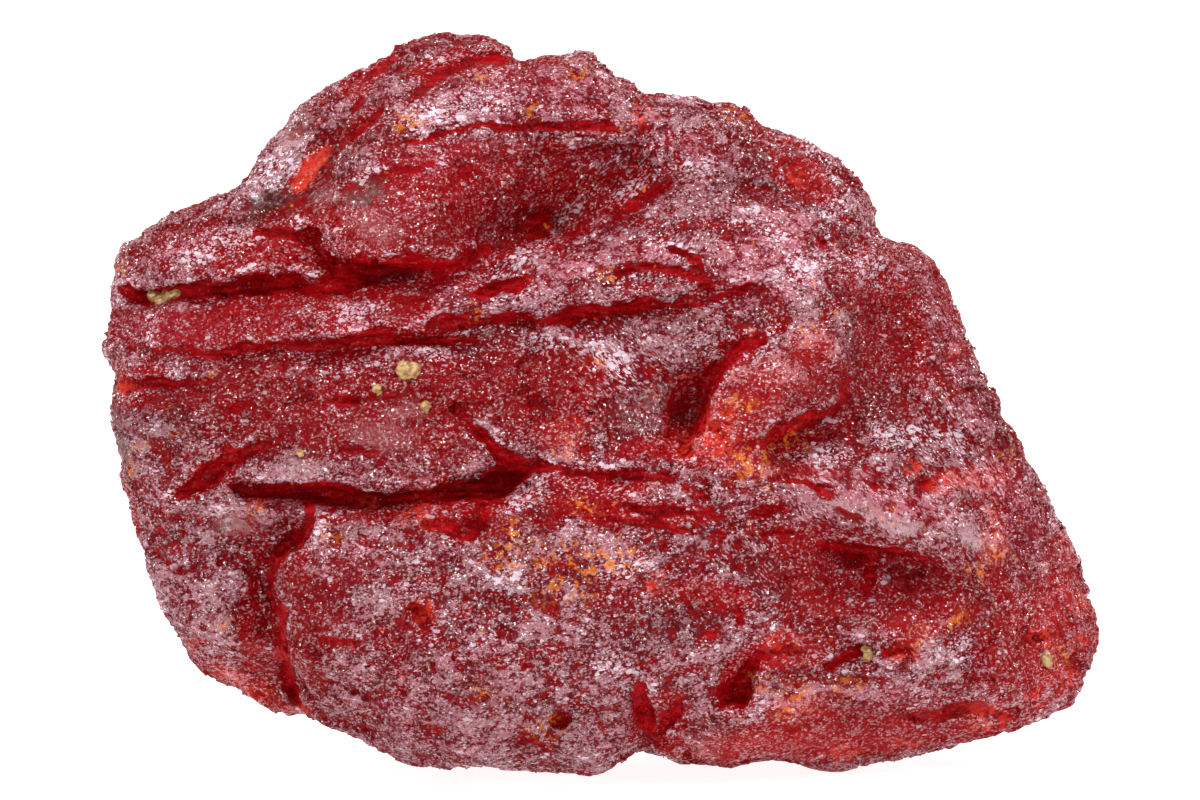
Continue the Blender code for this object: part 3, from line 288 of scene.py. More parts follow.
scarletStains = [
    ((24.2, 6.6), 0.8), ((24.4, 8.4), 0.7), ((21.6, 3.6), 0.9), ((12.0, 0.9), 1.0), ((-20.2, 6.4), 0.7),
    ((-15.2, 2.8), 1.0), ((23.4, 11.6), 0.6), ((17.6, 21.0), 0.5), ((-18.8, 4.8), 0.9), ((8.0, 0.8), 0.8),
    ((23.2, 4.6), 0.9), ((9.8, 31.8), 0.9), ((7.3, 21.9), 0.4), ((15.6, 15.5), 0.7), ((19.5, 13.3), 0.7),
    ((-9.0, 12.9), 1.0), ((5.9, 17.6), 1.0), ((-23.6, 19.3), 0.6), ((17.1, 14.4), 0.6), ((22.0, 7.0), 0.9),
    ((15.0, 6.1), 0.8), ((9.0, 6.8), 0.9), ((9.7, 29.6), 0.7), ((-8.6, 8.4), 0.7), ((19.2, 2.8), 1.2),
    ((15.2, 1.2), 1.0), ((-17.2, 3.9), 1.0), ((2.2, 32.6), 0.9), ((-11.5, 13.4), 0.6), ((16.6, 14.4), 0.5),
    ((-12.0, 22.1), 0.5), ((4.4, 16.4), 1.0), ((6.0, 16.6), 1.2), ((-1.6, 17.4), 0.8), ((2.6, 9.7), 0.9),
    ((-16.8, 13.6), 0.5),
]
# The bright flat scar beside the upper mound
brightScar = {"line": [(-14.9, 29.1), (-14.3, 30.0), (-13.7, 30.95)], "width": 0.85}


def smoothStep(low, high, value):
    share = np.clip((value - low) / (high - low), 0.0, 1.0)
    return share * share * (3.0 - 2.0 * share)


# Where points of the frame, in metres, lie on the drawing, in mm
def facePlaces(points):
    upFace = (points[:, 1] * math.sin(drawing["lean"]) + points[:, 2] * math.cos(drawing["lean"])) / mm
    return points[:, 0] / mm + drawing["middle"], upFace + drawing["top"] - drawing["frameTop"]


# The direction into the stone, straight through the drawn face
def faceInward():
    return Vector((0.0, math.cos(drawing["lean"]), -math.sin(drawing["lean"])))


# The frame's point for a place of the drawing, on the plane of the face
def framePlace(x, z):
    up = (z - drawing["top"] + drawing["frameTop"]) * mm
    across = (x - drawing["middle"]) * mm
    return Vector((across, math.sin(drawing["lean"]) * up, math.cos(drawing["lean"]) * up))


# A smooth random field from -1 to 1, the same each run
def wander(places, size, seed):
    scaled = places / size
    cell = np.floor(scaled).astype(np.int64)
    part = scaled - cell
    part = part * part * (3.0 - 2.0 * part)
    total = np.zeros(len(places))
    for corner in np.ndindex(2, 2, 2):
        mixed = (cell + corner) @ np.array([73856093, 19349663, 83492791]) + seed * 7919
        mixed = (mixed ^ (mixed >> 13)) * 1274126177 & 0x7FFFFFFF
        mixed = (mixed ^ (mixed >> 16)) * 60493 & 0x7FFFFFFF
        weight = np.prod(np.where(corner, part, 1.0 - part), axis=1)
        total += weight * (mixed / 0x3FFFFFFF - 1.0)
    return total


# 1 in the middle of each patch, falling to 0 at its edge
def patchField(x, z, patches):
    field = np.zeros_like(x)
    for middle, halves, turn in patches:
        c, s = math.cos(math.radians(turn)), math.sin(math.radians(turn))
        along = ((x - middle[0]) * c + (z - middle[1]) * s) / halves[0]
        across = (-(x - middle[0]) * s + (z - middle[1]) * c) / halves[1]
        field = np.maximum(field, 1.0 - smoothStep(0.35, 1.25, np.hypot(along, across)))
    return field


def stainField(x, z, stains):
    return patchField(x, z, [(middle, (radius, 0.75 * radius), 10) for middle, radius in stains])


# For each place: how far the line is, its third value there, how far its ends are, and on which side it lies
def lineDistance(x, z, line):
    points = np.array(line, float)
    third = points[:, 2] if points.shape[1] > 2 else np.zeros(len(points))
    best, value = np.full_like(x, 1e9), np.zeros_like(x)
    along, side, start = np.zeros_like(x), np.ones_like(x), 0.0
    for a, b, low, high in zip(points[:-1, :2], points[1:, :2], third[:-1], third[1:]):
        length = np.hypot(*(b - a))
        way = (b - a) / length
        place = np.clip((x - a[0]) * way[0] + (z - a[1]) * way[1], 0.0, length)
        distance = np.hypot(x - a[0] - place * way[0], z - a[1] - place * way[1])
        closer = distance < best
        best = np.where(closer, distance, best)
        value = np.where(closer, low + (high - low) * place / length, value)
        along = np.where(closer, start + place, along)
        side = np.where(closer, np.sign(way[0] * (z - a[1]) - way[1] * (x - a[0])), side)
        start += length
    return best, value, np.minimum(along, start - along), side


# The places within reach of a line
def nearLine(x, z, line, reach):
    points = np.array([point[:2] for point in line])
    low, high = points.min(axis=0) - reach, points.max(axis=0) + reach
    return np.flatnonzero((x > low[0]) & (x < high[0]) & (z > low[1]) & (z < high[1]))


# How a gash's cross-section follows from its drawn width, in mm
cutShape = {
    "reach": 2.0,  # past this from its line a gash changes nothing
    "extraHalf": 0.04,  # on top of half the width
    "widthWaver": 0.45,  # share by which the width wavers, as the next one is
    "depthWaver": 0.30,
    "waverLengths": (0.9, 0.35, 1.6),  # two for the width and one for the depth
    "leastDepth": 0.26,
    "depthForWidth": 0.50,
    "overhang": 0.45,  # share of the depth by which the ground below the line falls in
    "lipPlace": 0.22,  # from the gash's edge
    "lipBreadth": 0.20,
}


def gashShape(places, distance, width, side):
    shape = cutShape
    long, short, deep = shape["waverLengths"]
    waver = 0.5 * wander(places, long, 91) + 0.5 * wander(places, short, 92)
    half = (0.5 * width + shape["extraHalf"]) * (1.0 + shape["widthWaver"] * waver)
    depth = shape["leastDepth"] + shape["depthForWidth"] * width
    depth = depth * (1.0 + shape["depthWaver"] * wander(places, deep, 93))
    steep = 1.0 - smoothStep(0.72, 1.0, distance / half)
    slope = np.exp(-((distance / (half + 0.5 * width + 0.15)) ** 2)) * (side < 0.0)
    slope = shape["overhang"] * slope
    share = np.maximum(1.0 - smoothStep(0.85, 1.15, distance / half), 0.8 * slope)
    lip = np.exp(-(((distance - half - shape["lipPlace"]) / shape["lipBreadth"]) ** 2))
    return depth * np.maximum(steep, slope), share, lip * smoothStep(0.2, 0.5, width)


# How deep the gashes, steps and pits cut at each place, in mm, and how much of it is gash or a gash's lip
def carving(x, z):
    cut, share, drop, lip = (np.zeros_like(x) for _ in range(4))
    flat = np.column_stack([x, np.zeros_like(x), z])
    for line in gashes:
        near = nearLine(x, z, line, cutShape["reach"])
        distance, width, _, side = lineDistance(x[near], z[near], line)
        deep, within, edge = gashShape(flat[near], distance, width, side)
        cut[near] = np.maximum(cut[near], deep)
        share[near] = np.maximum(share[near], within)
        lip[near] = np.maximum(lip[near], edge)
    for line, fall, reach in steps:
        near = nearLine(x, z, line, 3.0 * reach)
        distance, _, toEnd, side = lineDistance(x[near], z[near], line)
        low = smoothStep(-0.15, 0.15, side * distance) * np.exp(-((distance / reach) ** 2))
        drop[near] = np.maximum(drop[near], fall * low * smoothStep(0.0, 1.6, toEnd))
    for middle, radius, depth in pits:
        distance = np.hypot(x - middle[0], z - middle[1]) / radius
        cut = np.maximum(cut, depth * np.sqrt(np.clip(1.0 - distance**2, 0.0, 1.0)))
        share = np.maximum(share, 1.0 - smoothStep(0.6, 1.05, distance))
    lip = lip * (1.0 - smoothStep(0.0, 0.25, cut))
    return cut, share, drop, lip


def meshArrays(mesh):
    points = np.empty(len(mesh.vertices) * 3)
    mesh.vertices.foreach_get("co", points)
    normals = np.empty(len(mesh.vertices) * 3)
    mesh.vertices.foreach_get("normal", normals)
    edges = np.empty(len(mesh.edges) * 2, np.int32)
    mesh.edges.foreach_get("vertices", edges)
    return points.reshape(-1, 3), normals.reshape(-1, 3), edges.reshape(-1, 2)


def movePoints(mesh, points):
    mesh.vertices.foreach_set("co", points.ravel())
    mesh.update()


# Values of the points, each drawn towards the mean of its neighbours, several times over
def averaged(values, edges, rounds, share=1.0):
    count = len(values)
    neighbours = np.maximum(np.bincount(edges.ravel(), minlength=count), 1)
    for _ in range(rounds):
        columns = []
        for column in values.reshape(count, -1).T:
            total = np.bincount(edges[:, 0], weights=column[edges[:, 1]], minlength=count)
            total += np.bincount(edges[:, 1], weights=column[edges[:, 0]], minlength=count)
            columns.append(column + share * (total / neighbours - column))
        values = np.stack(columns, axis=1).reshape(values.shape)
    return values


def evaluatedMesh(piece):
    return bpy.data.meshes.new_from_object(piece.evaluated_get(bpy.context.evaluated_depsgraph_get()))


def newPiece(name, mesh):
    piece = bpy.data.objects.new(name, mesh)
    bpy.context.scene.collection.objects.link(piece)
    return piece


def remeshed(piece, voxel):
    skin = piece.modifiers.new("skin", "REMESH")
    skin.mode = "VOXEL"
    skin.voxel_size = voxel * mm
    made = evaluatedMesh(piece)
    piece.modifiers.clear()
    return made


def triangleCount(mesh):
    return sum(len(face.vertices) - 2 for face in mesh.polygons)


def writeAttribute(mesh, name, values):
    kind = "FLOAT" if values.ndim == 1 else "FLOAT_VECTOR"
    attribute = mesh.attributes.get(name) or mesh.attributes.new(name, kind, "POINT")
    attribute.data.foreach_set("value" if kind == "FLOAT" else "vector", values.astype(np.float32).ravel())


def readVector(mesh, name):
    values = np.empty(len(mesh.vertices) * 3, np.float32)
    mesh.attributes[name].data.foreach_get("vector", values)
    return values.reshape(-1, 3).astype(float)


# Gives a node its inputs, as numbers, colours or links
def feed(tree, node, inputs):
    for name, value in inputs.items():
        if isinstance(value, bpy.types.NodeSocket):
            tree.links.new(value, node.inputs[name])
        else:
            node.inputs[name].default_value = value


def addNode(tree, kind, settings=None, inputs=None):
    made = tree.nodes.new(kind)
    for name, value in (settings or {}).items():
        setattr(made, name, value)
    feed(tree, made, inputs or {})
    return made


def maths(tree, operation, first, second=0.0):
    return addNode(tree, "ShaderNodeMath", {"operation": operation}, {0: first, 1: second}).outputs[0]


def vectorMaths(tree, operation, first, second=(0.0, 0.0, 0.0)):
    return addNode(tree, "ShaderNodeVectorMath", {"operation": operation}, {0: first, 1: second}).outputs[0]


def scaledBy(tree, vector, factor):
    made = addNode(tree, "ShaderNodeVectorMath", {"operation": "SCALE"}, {0: vector, "Scale": factor})
    return made.outputs[0]


# The three parts of a vector or a colour
def split(tree, vector):
    return addNode(tree, "ShaderNodeSeparateXYZ", None, {0: vector}).outputs


# A pattern of cells: how far the nearest cell's heart is, its random colour and its place
def cellNode(tree, place, scale=1.0):
    return addNode(tree, "ShaderNodeTexVoronoi", None, {"Vector": place, "Scale": scale}).outputs


def times(tree, first, second):
    return maths(tree, "MULTIPLY", first, second)


def minus(tree, first, second):
    return maths(tree, "SUBTRACT", first, second)


def larger(tree, first, second):
    return maths(tree, "MAXIMUM", first, second)


# The sum of the values, two at a time from the left
def added(tree, first, *others):
    for other in others:
        first = maths(tree, "ADD", first, other)
    return first


# The value where the other is 0, and without that share of it where the other is 1
def butNot(tree, value, other, share=1.0):
    return times(tree, value, minus(tree, 1.0, times(tree, other, share)))


# How far a value from 0 to 1 lies above or below its middle, times a strength
def swing(tree, value, strength):
    return times(tree, minus(tree, value, 0.5), strength)


# Turns low to high into toLow to toHigh, and holds outside
def between(tree, value, low, high, toLow=0.0, toHigh=1.0):
    made = addNode(tree, "ShaderNodeMapRange", {"interpolation_type": "SMOOTHSTEP"}, {
        "Value": value, "From Min": low, "From Max": high, "To Min": toLow, "To Max": toHigh})
    return made.outputs["Result"]


# A noise from 0 to 1
def noiseNode(tree, place, scale, detail=2.0, roughness=0.5):
    made = addNode(tree, "ShaderNodeTexNoise", None, {
        "Vector": place, "Scale": scale, "Detail": detail, "Roughness": roughness})
    return made.outputs[0]


def combined(tree, x, y, z):
    return addNode(tree, "ShaderNodeCombineXYZ", None, {0: x, 1: y, 2: z}).outputs[0]


# A value of the points, read by Geometry Nodes
def pointValue(tree, name):
    return addNode(tree, "GeometryNodeInputNamedAttribute", {"data_type": "FLOAT"}, {"Name": name}).outputs[0]


def mixColour(tree, share, first, second):
    made = addNode(tree, "ShaderNodeMix", {"data_type": "RGBA"}, {"Factor": share, 6: first, 7: second})
    return made.outputs[2]


# An empty Geometry Nodes tree with these named sizes, its input sockets and the socket of its result
def newTree(name, sizes):
    tree = bpy.data.node_groups.new(name, "GeometryNodeTree")
    tree.interface.new_socket("Geometry", in_out="INPUT", socket_type="NodeSocketGeometry")
    for label, value in sizes.items():
        kind = "NodeSocketInt" if isinstance(value, int) else "NodeSocketFloat"
        tree.interface.new_socket(label, in_out="INPUT", socket_type=kind)
    tree.interface.new_socket("Material", in_out="INPUT", socket_type="NodeSocketMaterial")
    tree.interface.new_socket("Geometry", in_out="OUTPUT", socket_type="NodeSocketGeometry")
    return tree, tree.nodes.new("NodeGroupInput").outputs


def endTree(tree, geometry, material):
    real = addNode(tree, "GeometryNodeRealizeInstances", None, {0: geometry})
    done = addNode(tree, "GeometryNodeSetMaterial", None, {"Geometry": real.outputs[0], "Material": material})
    tree.links.new(done.outputs[0], tree.nodes.new("NodeGroupOutput").inputs[0])


# Runs a Geometry Nodes tree on a piece and returns the plain mesh
def applyTree(piece, tree, values):
    modifier = piece.modifiers.new(tree.name, "NODES")
    modifier.node_group = tree
    for item in tree.interface.items_tree:
        if item.in_out == "INPUT" and item.name in values:
            modifier[item.identifier] = values[item.name]
    piece.update_tag()
    made = evaluatedMesh(piece)
    piece.modifiers.remove(modifier)
    return made


# The sugary break: chips that tilt every way, fine ribs along the layers, and small pits
sugarySkin = {
    "Block Size": 2.6,  # mm, as the next ones are
    "Block Height": 0.20,
    "Chip Size": 1.1,
    "Chip Height": 0.11,
    "Grain Size": 0.45,
    "Grain Height": 0.075,
    "Rib Spacing": 0.55,
    "Rib Height": 0.10,
    "Pit Spacing": 1.15,
    "Pit Depth": 0.20,
    "Seam Spacing": 2.6,
    "Seam Depth": 0.55,
}


# The places in steps of a size, so that a pattern with cells of 1 has cells of that size
def inSteps(tree, place, size):
    return vectorMaths(tree, "DIVIDE", place, combined(tree, size, size, size))


# Each cell of a broken pattern leans its own way
def tiltedChips(tree, inMm, size, height, stretch, seed):
    scaled = inSteps(tree, vectorMaths(tree, "MULTIPLY", inMm, stretch), size)
    scaled = vectorMaths(tree, "ADD", scaled, (seed, 2 * seed, 3 * seed))
    cells = cellNode(tree, scaled)
    lean = vectorMaths(tree, "SUBTRACT", cells["Color"], (0.5, 0.5, 0.5))
    offset = vectorMaths(tree, "SUBTRACT", scaled, cells["Position"])
    slope = addNode(tree, "ShaderNodeVectorMath", {"operation": "DOT_PRODUCT"}, {0: lean, 1: offset})
    return times(tree, slope.outputs["Value"], times(tree, height, 2.2))


# Ribs along the layers come and go
def layerRibs(tree, inMm, tilted, patch, spacing, height):
    bent = noiseNode(tree, inMm, 0.16)
    level = added(tree, split(tree, tilted)[2], times(tree, bent, 3.0))
    wave = maths(tree, "PINGPONG", maths(tree, "FRACT", maths(tree, "DIVIDE", level, spacing)), 0.5)
    return times(tree, times(tree, wave, height), between(tree, patch, 0.45, 0.6))


# Pits are the hearts of some cells of a wide pattern
def scatteredPits(tree, inMm, spacing, depth):
    cells = cellNode(tree, inSteps(tree, inMm, spacing))
    chosen = between(tree, split(tree, cells["Color"])[0], 0.45, 0.55)
    hole = times(tree, between(tree, cells["Distance"], 0.1, 0.34, 1.0, 0.0), chosen)
    return times(tree, hole, depth)


# Seams part the layers of the back and the sides, where no gashes are drawn
def layerSeams(tree, tilted, patch, spacing, depth):
    layered = vectorMaths(tree, "MULTIPLY", inSteps(tree, tilted, spacing), (0.16, 0.16, 1.0))
    fromSeam = maths(tree, "ABSOLUTE", minus(tree, noiseNode(tree, layered, 1.0, 3.0, 0.6), 0.53))
    where = times(tree, between(tree, patch, 0.42, 0.52), pointValue(tree, "away"))
    seams = times(tree, between(tree, fromSeam, 0.004, 0.020, 1.0, 0.0), where)
    return times(tree, seams, depth)


def sugarySkinTree():
    tree, given = newTree("SugarySkin", sugarySkin)
    place = addNode(tree, "GeometryNodeInputPosition").outputs[0]
    normal = addNode(tree, "GeometryNodeInputNormal").outputs[0]
    inMm = scaledBy(tree, place, 1.0 / mm)
    # The layers rise a little to the right
    tilted = addNode(tree, "ShaderNodeVectorRotate", {"rotation_type": "Y_AXIS"},
                     {"Vector": inMm, "Angle": math.radians(5.0)}).outputs[0]
    patch = noiseNode(tree, inMm, 0.33, 1.0)
    blocks = tiltedChips(tree, inMm, given["Block Size"], given["Block Height"], (0.7, 1.0, 1.3), 7.3)
    chips = tiltedChips(tree, inMm, given["Chip Size"], given["Chip Height"], (0.75, 1.0, 1.35), 3.1)
    grains = tiltedChips(tree, inMm, given["Grain Size"], given["Grain Height"], (1.0, 1.0, 1.0), 11.7)
    height = added(tree, added(tree, blocks, chips), grains)
    for operation, relief in (
        ("ADD", layerRibs(tree, inMm, tilted, patch, given["Rib Spacing"], given["Rib Height"])),
        ("SUBTRACT", scatteredPits(tree, inMm, given["Pit Spacing"], given["Pit Depth"])),
        ("SUBTRACT", layerSeams(tree, tilted, patch, given["Seam Spacing"], given["Seam Depth"])),
    ):
        height = maths(tree, operation, height, relief)
    rough = minus(tree, 1.0, pointValue(tree, "calm"))
    height = times(tree, times(tree, height, rough), mm)
    moved = addNode(tree, "GeometryNodeSetPosition", None, {
        "Geometry": given["Geometry"], "Offset": scaledBy(tree, normal, height)})
    endTree(tree, moved.outputs[0], given["Material"])
    return tree


# Tiny broken crystals, half sunk in the skin
crystalChips = {
    "Density": 16.0,  # chips on a square mm, where a scatter gives no other number
    "Chip Size": 0.15,  # mm
    "Smallest": 0.5,  # share of that size
    "Sunk": 0.22,  # share of its size that a chip lies deeper than half
    "Lean": 0.75,  # radians that a chip may tip
    "Seed": 4,
}
# Each scatter: the value that says where it lies, its density and its seed
chipScatters = {
    "realgar_chips_left": ("chipsLeft", 22.0, 4),
    "realgar_chips_right": ("chipsRight", 23.0, 5),
    "realgar_chips_back": ("chipsBack", 6.5, 6),
}


# The three shapes of a chip, as instances to pick from
def chipShapes(tree):
    prism = addNode(tree, "GeometryNodeMeshCylinder", None, {
        "Vertices": 3, "Side Segments": 1, "Radius": 0.6, "Depth": 1.1})
    laid = addNode(tree, "GeometryNodeTransform", None, {
        "Geometry": prism.outputs["Mesh"], "Rotation": (math.pi / 2.0, 0.0, 0.0)})
    pyramid = addNode(tree, "GeometryNodeMeshUVSphere", None, {"Segments": 4, "Rings": 2, "Radius": 0.62})
    block = addNode(tree, "GeometryNodeMeshCube", None, {"Size": (1.0, 0.8, 0.7)})
    kinds = addNode(tree, "GeometryNodeGeometryToInstance")
    for shape in (laid.outputs[0], pyramid.outputs["Mesh"], block.outputs["Mesh"]):
        tree.links.new(shape, kinds.inputs[0])
    return kinds.outputs[0]


def randomValue(tree, kind, low, high, seed):
    first = {"FLOAT_VECTOR": 0, "FLOAT": 2, "INT": 4}[kind]
    made = addNode(tree, "FunctionNodeRandomValue", {"data_type": kind}, {
        first: low, first + 1: high, "Seed": seed})
    return made.outputs[first // 2]


def crystalChipsTree(where):
    tree, given = newTree("CrystalChips_" + where, crystalChips)
    density = times(tree, given["Density"], pointValue(tree, where))
    spread = addNode(tree, "GeometryNodeDistributePointsOnFaces", None, {
        "Mesh": given["Geometry"], "Density": times(tree, density, 1.0 / mm**2),
        "Seed": given["Seed"]})
    kinds = chipShapes(tree)
    lean = times(tree, given["Lean"], -1.0)
    low = combined(tree, lean, lean, 0.0)
    high = combined(tree, given["Lean"], given["Lean"], 2.0 * math.pi)
    tip = addNode(tree, "FunctionNodeEulerToRotation", None, {
        0: randomValue(tree, "FLOAT_VECTOR", low, high, 11)})
    turned = addNode(tree, "FunctionNodeRotateRotation", {"rotation_space": "LOCAL"}, {
        0: spread.outputs["Rotation"], 1: tip.outputs[0]}).outputs[0]
    size = times(tree, times(tree, given["Chip Size"], mm),
                 randomValue(tree, "FLOAT", given["Smallest"], 1.0, 12))
    shape = randomValue(tree, "FLOAT_VECTOR", (0.65, 0.65, 0.55), (1.35, 1.35, 1.0), 13)
    inward = scaledBy(tree, spread.outputs["Normal"], times(tree, times(tree, size, given["Sunk"]), -1.0))
    sunk = addNode(tree, "GeometryNodeSetPosition", None, {
        "Geometry": spread.outputs["Points"], "Offset": inward})
    placed = addNode(tree, "GeometryNodeInstanceOnPoints", None, {
        "Points": sunk.outputs[0], "Instance": kinds, "Pick Instance": True,
        "Instance Index": randomValue(tree, "INT", 0, 2, 14), "Rotation": turned,
        "Scale": scaledBy(tree, shape, size)})
    endTree(tree, placed.outputs[0], given["Material"])
    return tree


# A map for each piece that is made like a box unfolded, so that what is painted on the stone stays sharp
bakeCharts = {
    "side": 102.0,  # mm of stone along the map's side
    "places": [(1.0, 1.0), (51.5, 1.0), (1.0, 40.0), (51.5, 40.0), (1.0, 68.0), (29.0, 68.0)],  # mm
}


def writeBakeMap(mesh):
    points, _, _ = meshArrays(mesh)
    points = (points - np.array(cadBox[0])) / mm
    broad = readVector(mesh, "broad")
    corners = np.empty(len(mesh.loops), np.int32)
    mesh.loops.foreach_get("vertex_index", corners)
    counts = np.empty(len(mesh.polygons), np.int32)
    mesh.polygons.foreach_get("loop_total", counts)
    face = np.repeat(np.arange(len(counts)), counts)
    facing = np.stack([np.bincount(face, weights=broad[corners, axis]) for axis in range(3)], axis=1)
    axis = np.abs(facing * (1.0, 1.25, 1.0)).argmax(axis=1)
    positive = facing[np.arange(len(axis)), axis] > 0.0
    chart = np.select([axis == 1, axis == 2], [np.where(positive, 1, 0), np.where(positive, 2, 3)],
                      np.where(positive, 5, 4))[face]
    place = points[corners]
    across = np.where(chart >= 4, place[:, 1], place[:, 0])
    up = np.where((chart == 2) | (chart == 3), place[:, 1], place[:, 2])
    start = np.array(bakeCharts["places"])[chart]
    places = np.stack([across + start[:, 0], up + start[:, 1]], axis=1) / bakeCharts["side"]
    layer = mesh.uv_layers.new(name="OFBake")
    layer.uv.foreach_set("vector", places.astype(np.float32).ravel())


def packedCopy():
    packed = bmesh.new()
    packed.from_mesh(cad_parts["realgar"].data)
    bmesh.ops.remove_doubles(packed, verts=packed.verts, dist=1e-7)
    mesh = bpy.data.meshes.new("realgar_stone")
    packed.to_mesh(mesh)
    packed.free()
    return mesh


# 1 where the ground faces the viewer, who looks down a little, and 0 on the sides and the back
def frontShare(normals):
    return smoothStep(*stone["frontFrom"], -normals[:, 1] + stone["frontLean"] * normals[:, 2])


def broadNormals(mesh, rounds):
    points, _, edges = meshArrays(mesh)
    broad = averaged(points, edges, rounds)
    movePoints(mesh, broad)
    normals = meshArrays(mesh)[1]
    movePoints(mesh, points)
    return broad, normals


# The drawing's places of the points, with the wander that makes each edge ragged
def raggedPlaces(points):
    x, z = facePlaces(points)
    for seed, (size, reach) in enumerate(stone["raggedness"]):
        x = x + reach * wander(points / mm, size, 2 * seed + 1)
        z = z + reach * wander(points / mm, size, 2 * seed + 2)
    return x, z


def stoneBody(material):
    mesh = packedCopy()
    drawing["frameTop"] = 0.0  # facePlaces reads it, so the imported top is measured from 0
    drawing["frameTop"] = float(facePlaces(meshArrays(mesh)[0])[1].max() - drawing["top"])
    piece = newPiece("realgar_stone", mesh)
    piece.data = remeshed(piece, stone["firstVoxel"])
    points, _, edges = meshArrays(piece.data)
    points = averaged(points, edges, stone["rounding"], 0.7)
    movePoints(piece.data, points)
    _, normals = broadNormals(piece.data, stone["broadRounds"])
    x, z = raggedPlaces(points)
    cut, _, drop, lip = carving(x, z)
    cut = frontShare(normals) * (cut + drop - stone["lipHeight"] * lip)
    movePoints(piece.data, points + (cut * mm)[:, None] * np.array(faceInward()))
    piece.data = remeshed(piece, stone["voxel"])
    print("stone carved:", len(piece.data.polygons), "faces")

    points, _, edges = meshArrays(piece.data)
    points = averaged(points, edges, 1, 0.5)
    movePoints(piece.data, points)
    _, normals = broadNormals(piece.data, stone["broadRounds"])
    x, z = raggedPlaces(points)
    _, share, _, _ = carving(x, z)
    calm = frontShare(normals) * np.maximum(0.45 * share, 0.5 * patchField(x, z, glossyPatches))
    calm = np.maximum(calm, 1.0 - smoothStep(0.0, 0.25, points[:, 2] / mm))
    writeAttribute(piece.data, "calm", calm)
    writeAttribute(piece.data, "away", 1.0 - frontShare(normals))
    piece.data = applyTree(piece, sugarySkinTree(), {**sugarySkin, "Material": material})
    finished = np.clip(meshArrays(piece.data)[0], cadBox[0], cadBox[1])
    movePoints(piece.data, finished)
    thinner = piece.modifiers.new("thinner", "DECIMATE")
    thinner.ratio = min(1.0, stone["mostTriangles"] / triangleCount(piece.data))
    piece.data = evaluatedMesh(piece)
    piece.modifiers.clear()
    movePoints(piece.data, np.clip(meshArrays(piece.data)[0], cadBox[0], cadBox[1]))
    paintStone(piece.data)
    return piece


# What the material reads: how deep each place lies, and the drawn patches and stains
def paintStone(mesh):
    points, _, edges = meshArrays(mesh)
    broad, normals = broadNormals(mesh, stone["hollowRounds"])
    front = frontShare(normals)
    local = averaged(points, edges, stone["fineRounds"])
    middling = averaged(points, edges, stone["dipRounds"])
    near = meshArrays(mesh)[1]
    x, z = raggedPlaces(points)
    cut, share, _, lip = carving(x, z)
    scar = lineDistance(x, z, brightScar["line"])[0] / brightScar["width"]
    red = np.maximum(patchField(x, z, redPatches), 0.6 * patchField(x, z, crimsonPatches))
    scarlet = np.maximum(0.75 * stainField(x, z, scarletStains), 1.0 - smoothStep(0.42, 0.6, scar))
    fields = {
        "broad": normals,
        "hollow": ((broad - points) * normals).sum(axis=1) / mm,
        "dip": ((middling - points) * normals).sum(axis=1) / mm,
        "pit": ((local - points) * near).sum(axis=1) / mm,
        "gash": front * share,
        "sunk": front * cut,
        "glossy": front * patchField(x, z, glossyPatches),
        # painted highlight: where the glints gather, also along the lips of the gashes
        "glare": front * np.maximum(patchField(x, z, glarePatches), 0.7 * lip),
        "pink": front * patchField(x, z, pinkPatches),
        "rose": front * patchField(x, z, rosePatches),
        "dark": front * patchField(x, z, darkPatches),
        "umber": front * patchField(x, z, umberPatches),
        "rising": front * patchField(x, z, risingPatches),
        "falling": front * patchField(x, z, fallingPatches),
        "red": front * np.maximum(red, 0.4 * lip),
        # painted glow: the sides and back, turned from the viewer, are made redder as if lit through from
        # behind
        "paintedRimGlow": smoothStep(0.30, 0.85, 1.0 + normals[:, 1]),
        "orange": front * stainField(x, z, orangeStains),
        "scarlet": front * scarlet,
    }
    chips = (1.0 - fields["gash"]) * (1.0 - 0.8 * fields["glossy"]) * smoothStep(0.3, 0.8, points[:, 2] / mm)
    chips = chips * (1.0 - 0.6 * fields["red"])
    fields["chipsLeft"] = chips * front * (x < 0.0)
    fields["chipsRight"] = chips * front * (x >= 0.0)
    fields["chipsBack"] = chips * (1.0 - front)
    for name, values in fields.items():
        writeAttribute(mesh, name, values)


# One scatter's chips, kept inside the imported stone's box
def makeChips(name, body, material):
    where, density, seed = chipScatters[name]
    values = {**crystalChips, "Density": density, "Seed": seed, "Material": material}
    mesh = applyTree(body, crystalChipsTree(where), values)
    movePoints(mesh, np.clip(meshArrays(mesh)[0], cadBox[0], cadBox[1]))
    writeBakeMap(mesh)
    print(name + ":", triangleCount(mesh), "triangles")
    return newPiece(name, mesh)


# Small rounded grains of another mineral that sit in the skin: each is the union of balls, middle and radius
tanGrains = {
    "clusters": [
        [((-22.1, 23.70), 0.40), ((-21.80, 23.50), 0.36), ((-21.50, 23.70), 0.40), ((-21.15, 23.82), 0.34)],
        [((-9.55, 20.05), 0.42), ((-9.15, 20.08), 0.40)],
        [((-8.5, 18.3), 0.27)],
        [((-10.95, 19.15), 0.26), ((-10.85, 19.0), 0.2)],
        [((-14.65, 15.95), 0.25)],
        [((13.1, 6.3), 0.28), ((13.2, 5.95), 0.3)],
        [((22.15, 5.75), 0.3), ((22.2, 5.45), 0.26)],
    ],
    "sunk": 0.45,  # share of its radius that a grain lies in the stone
    "voxel": 0.05,  # mm
    "lumps": 0.11,  # mm, as the next ones are
    "lumpSizes": (0.35, 0.14),
}


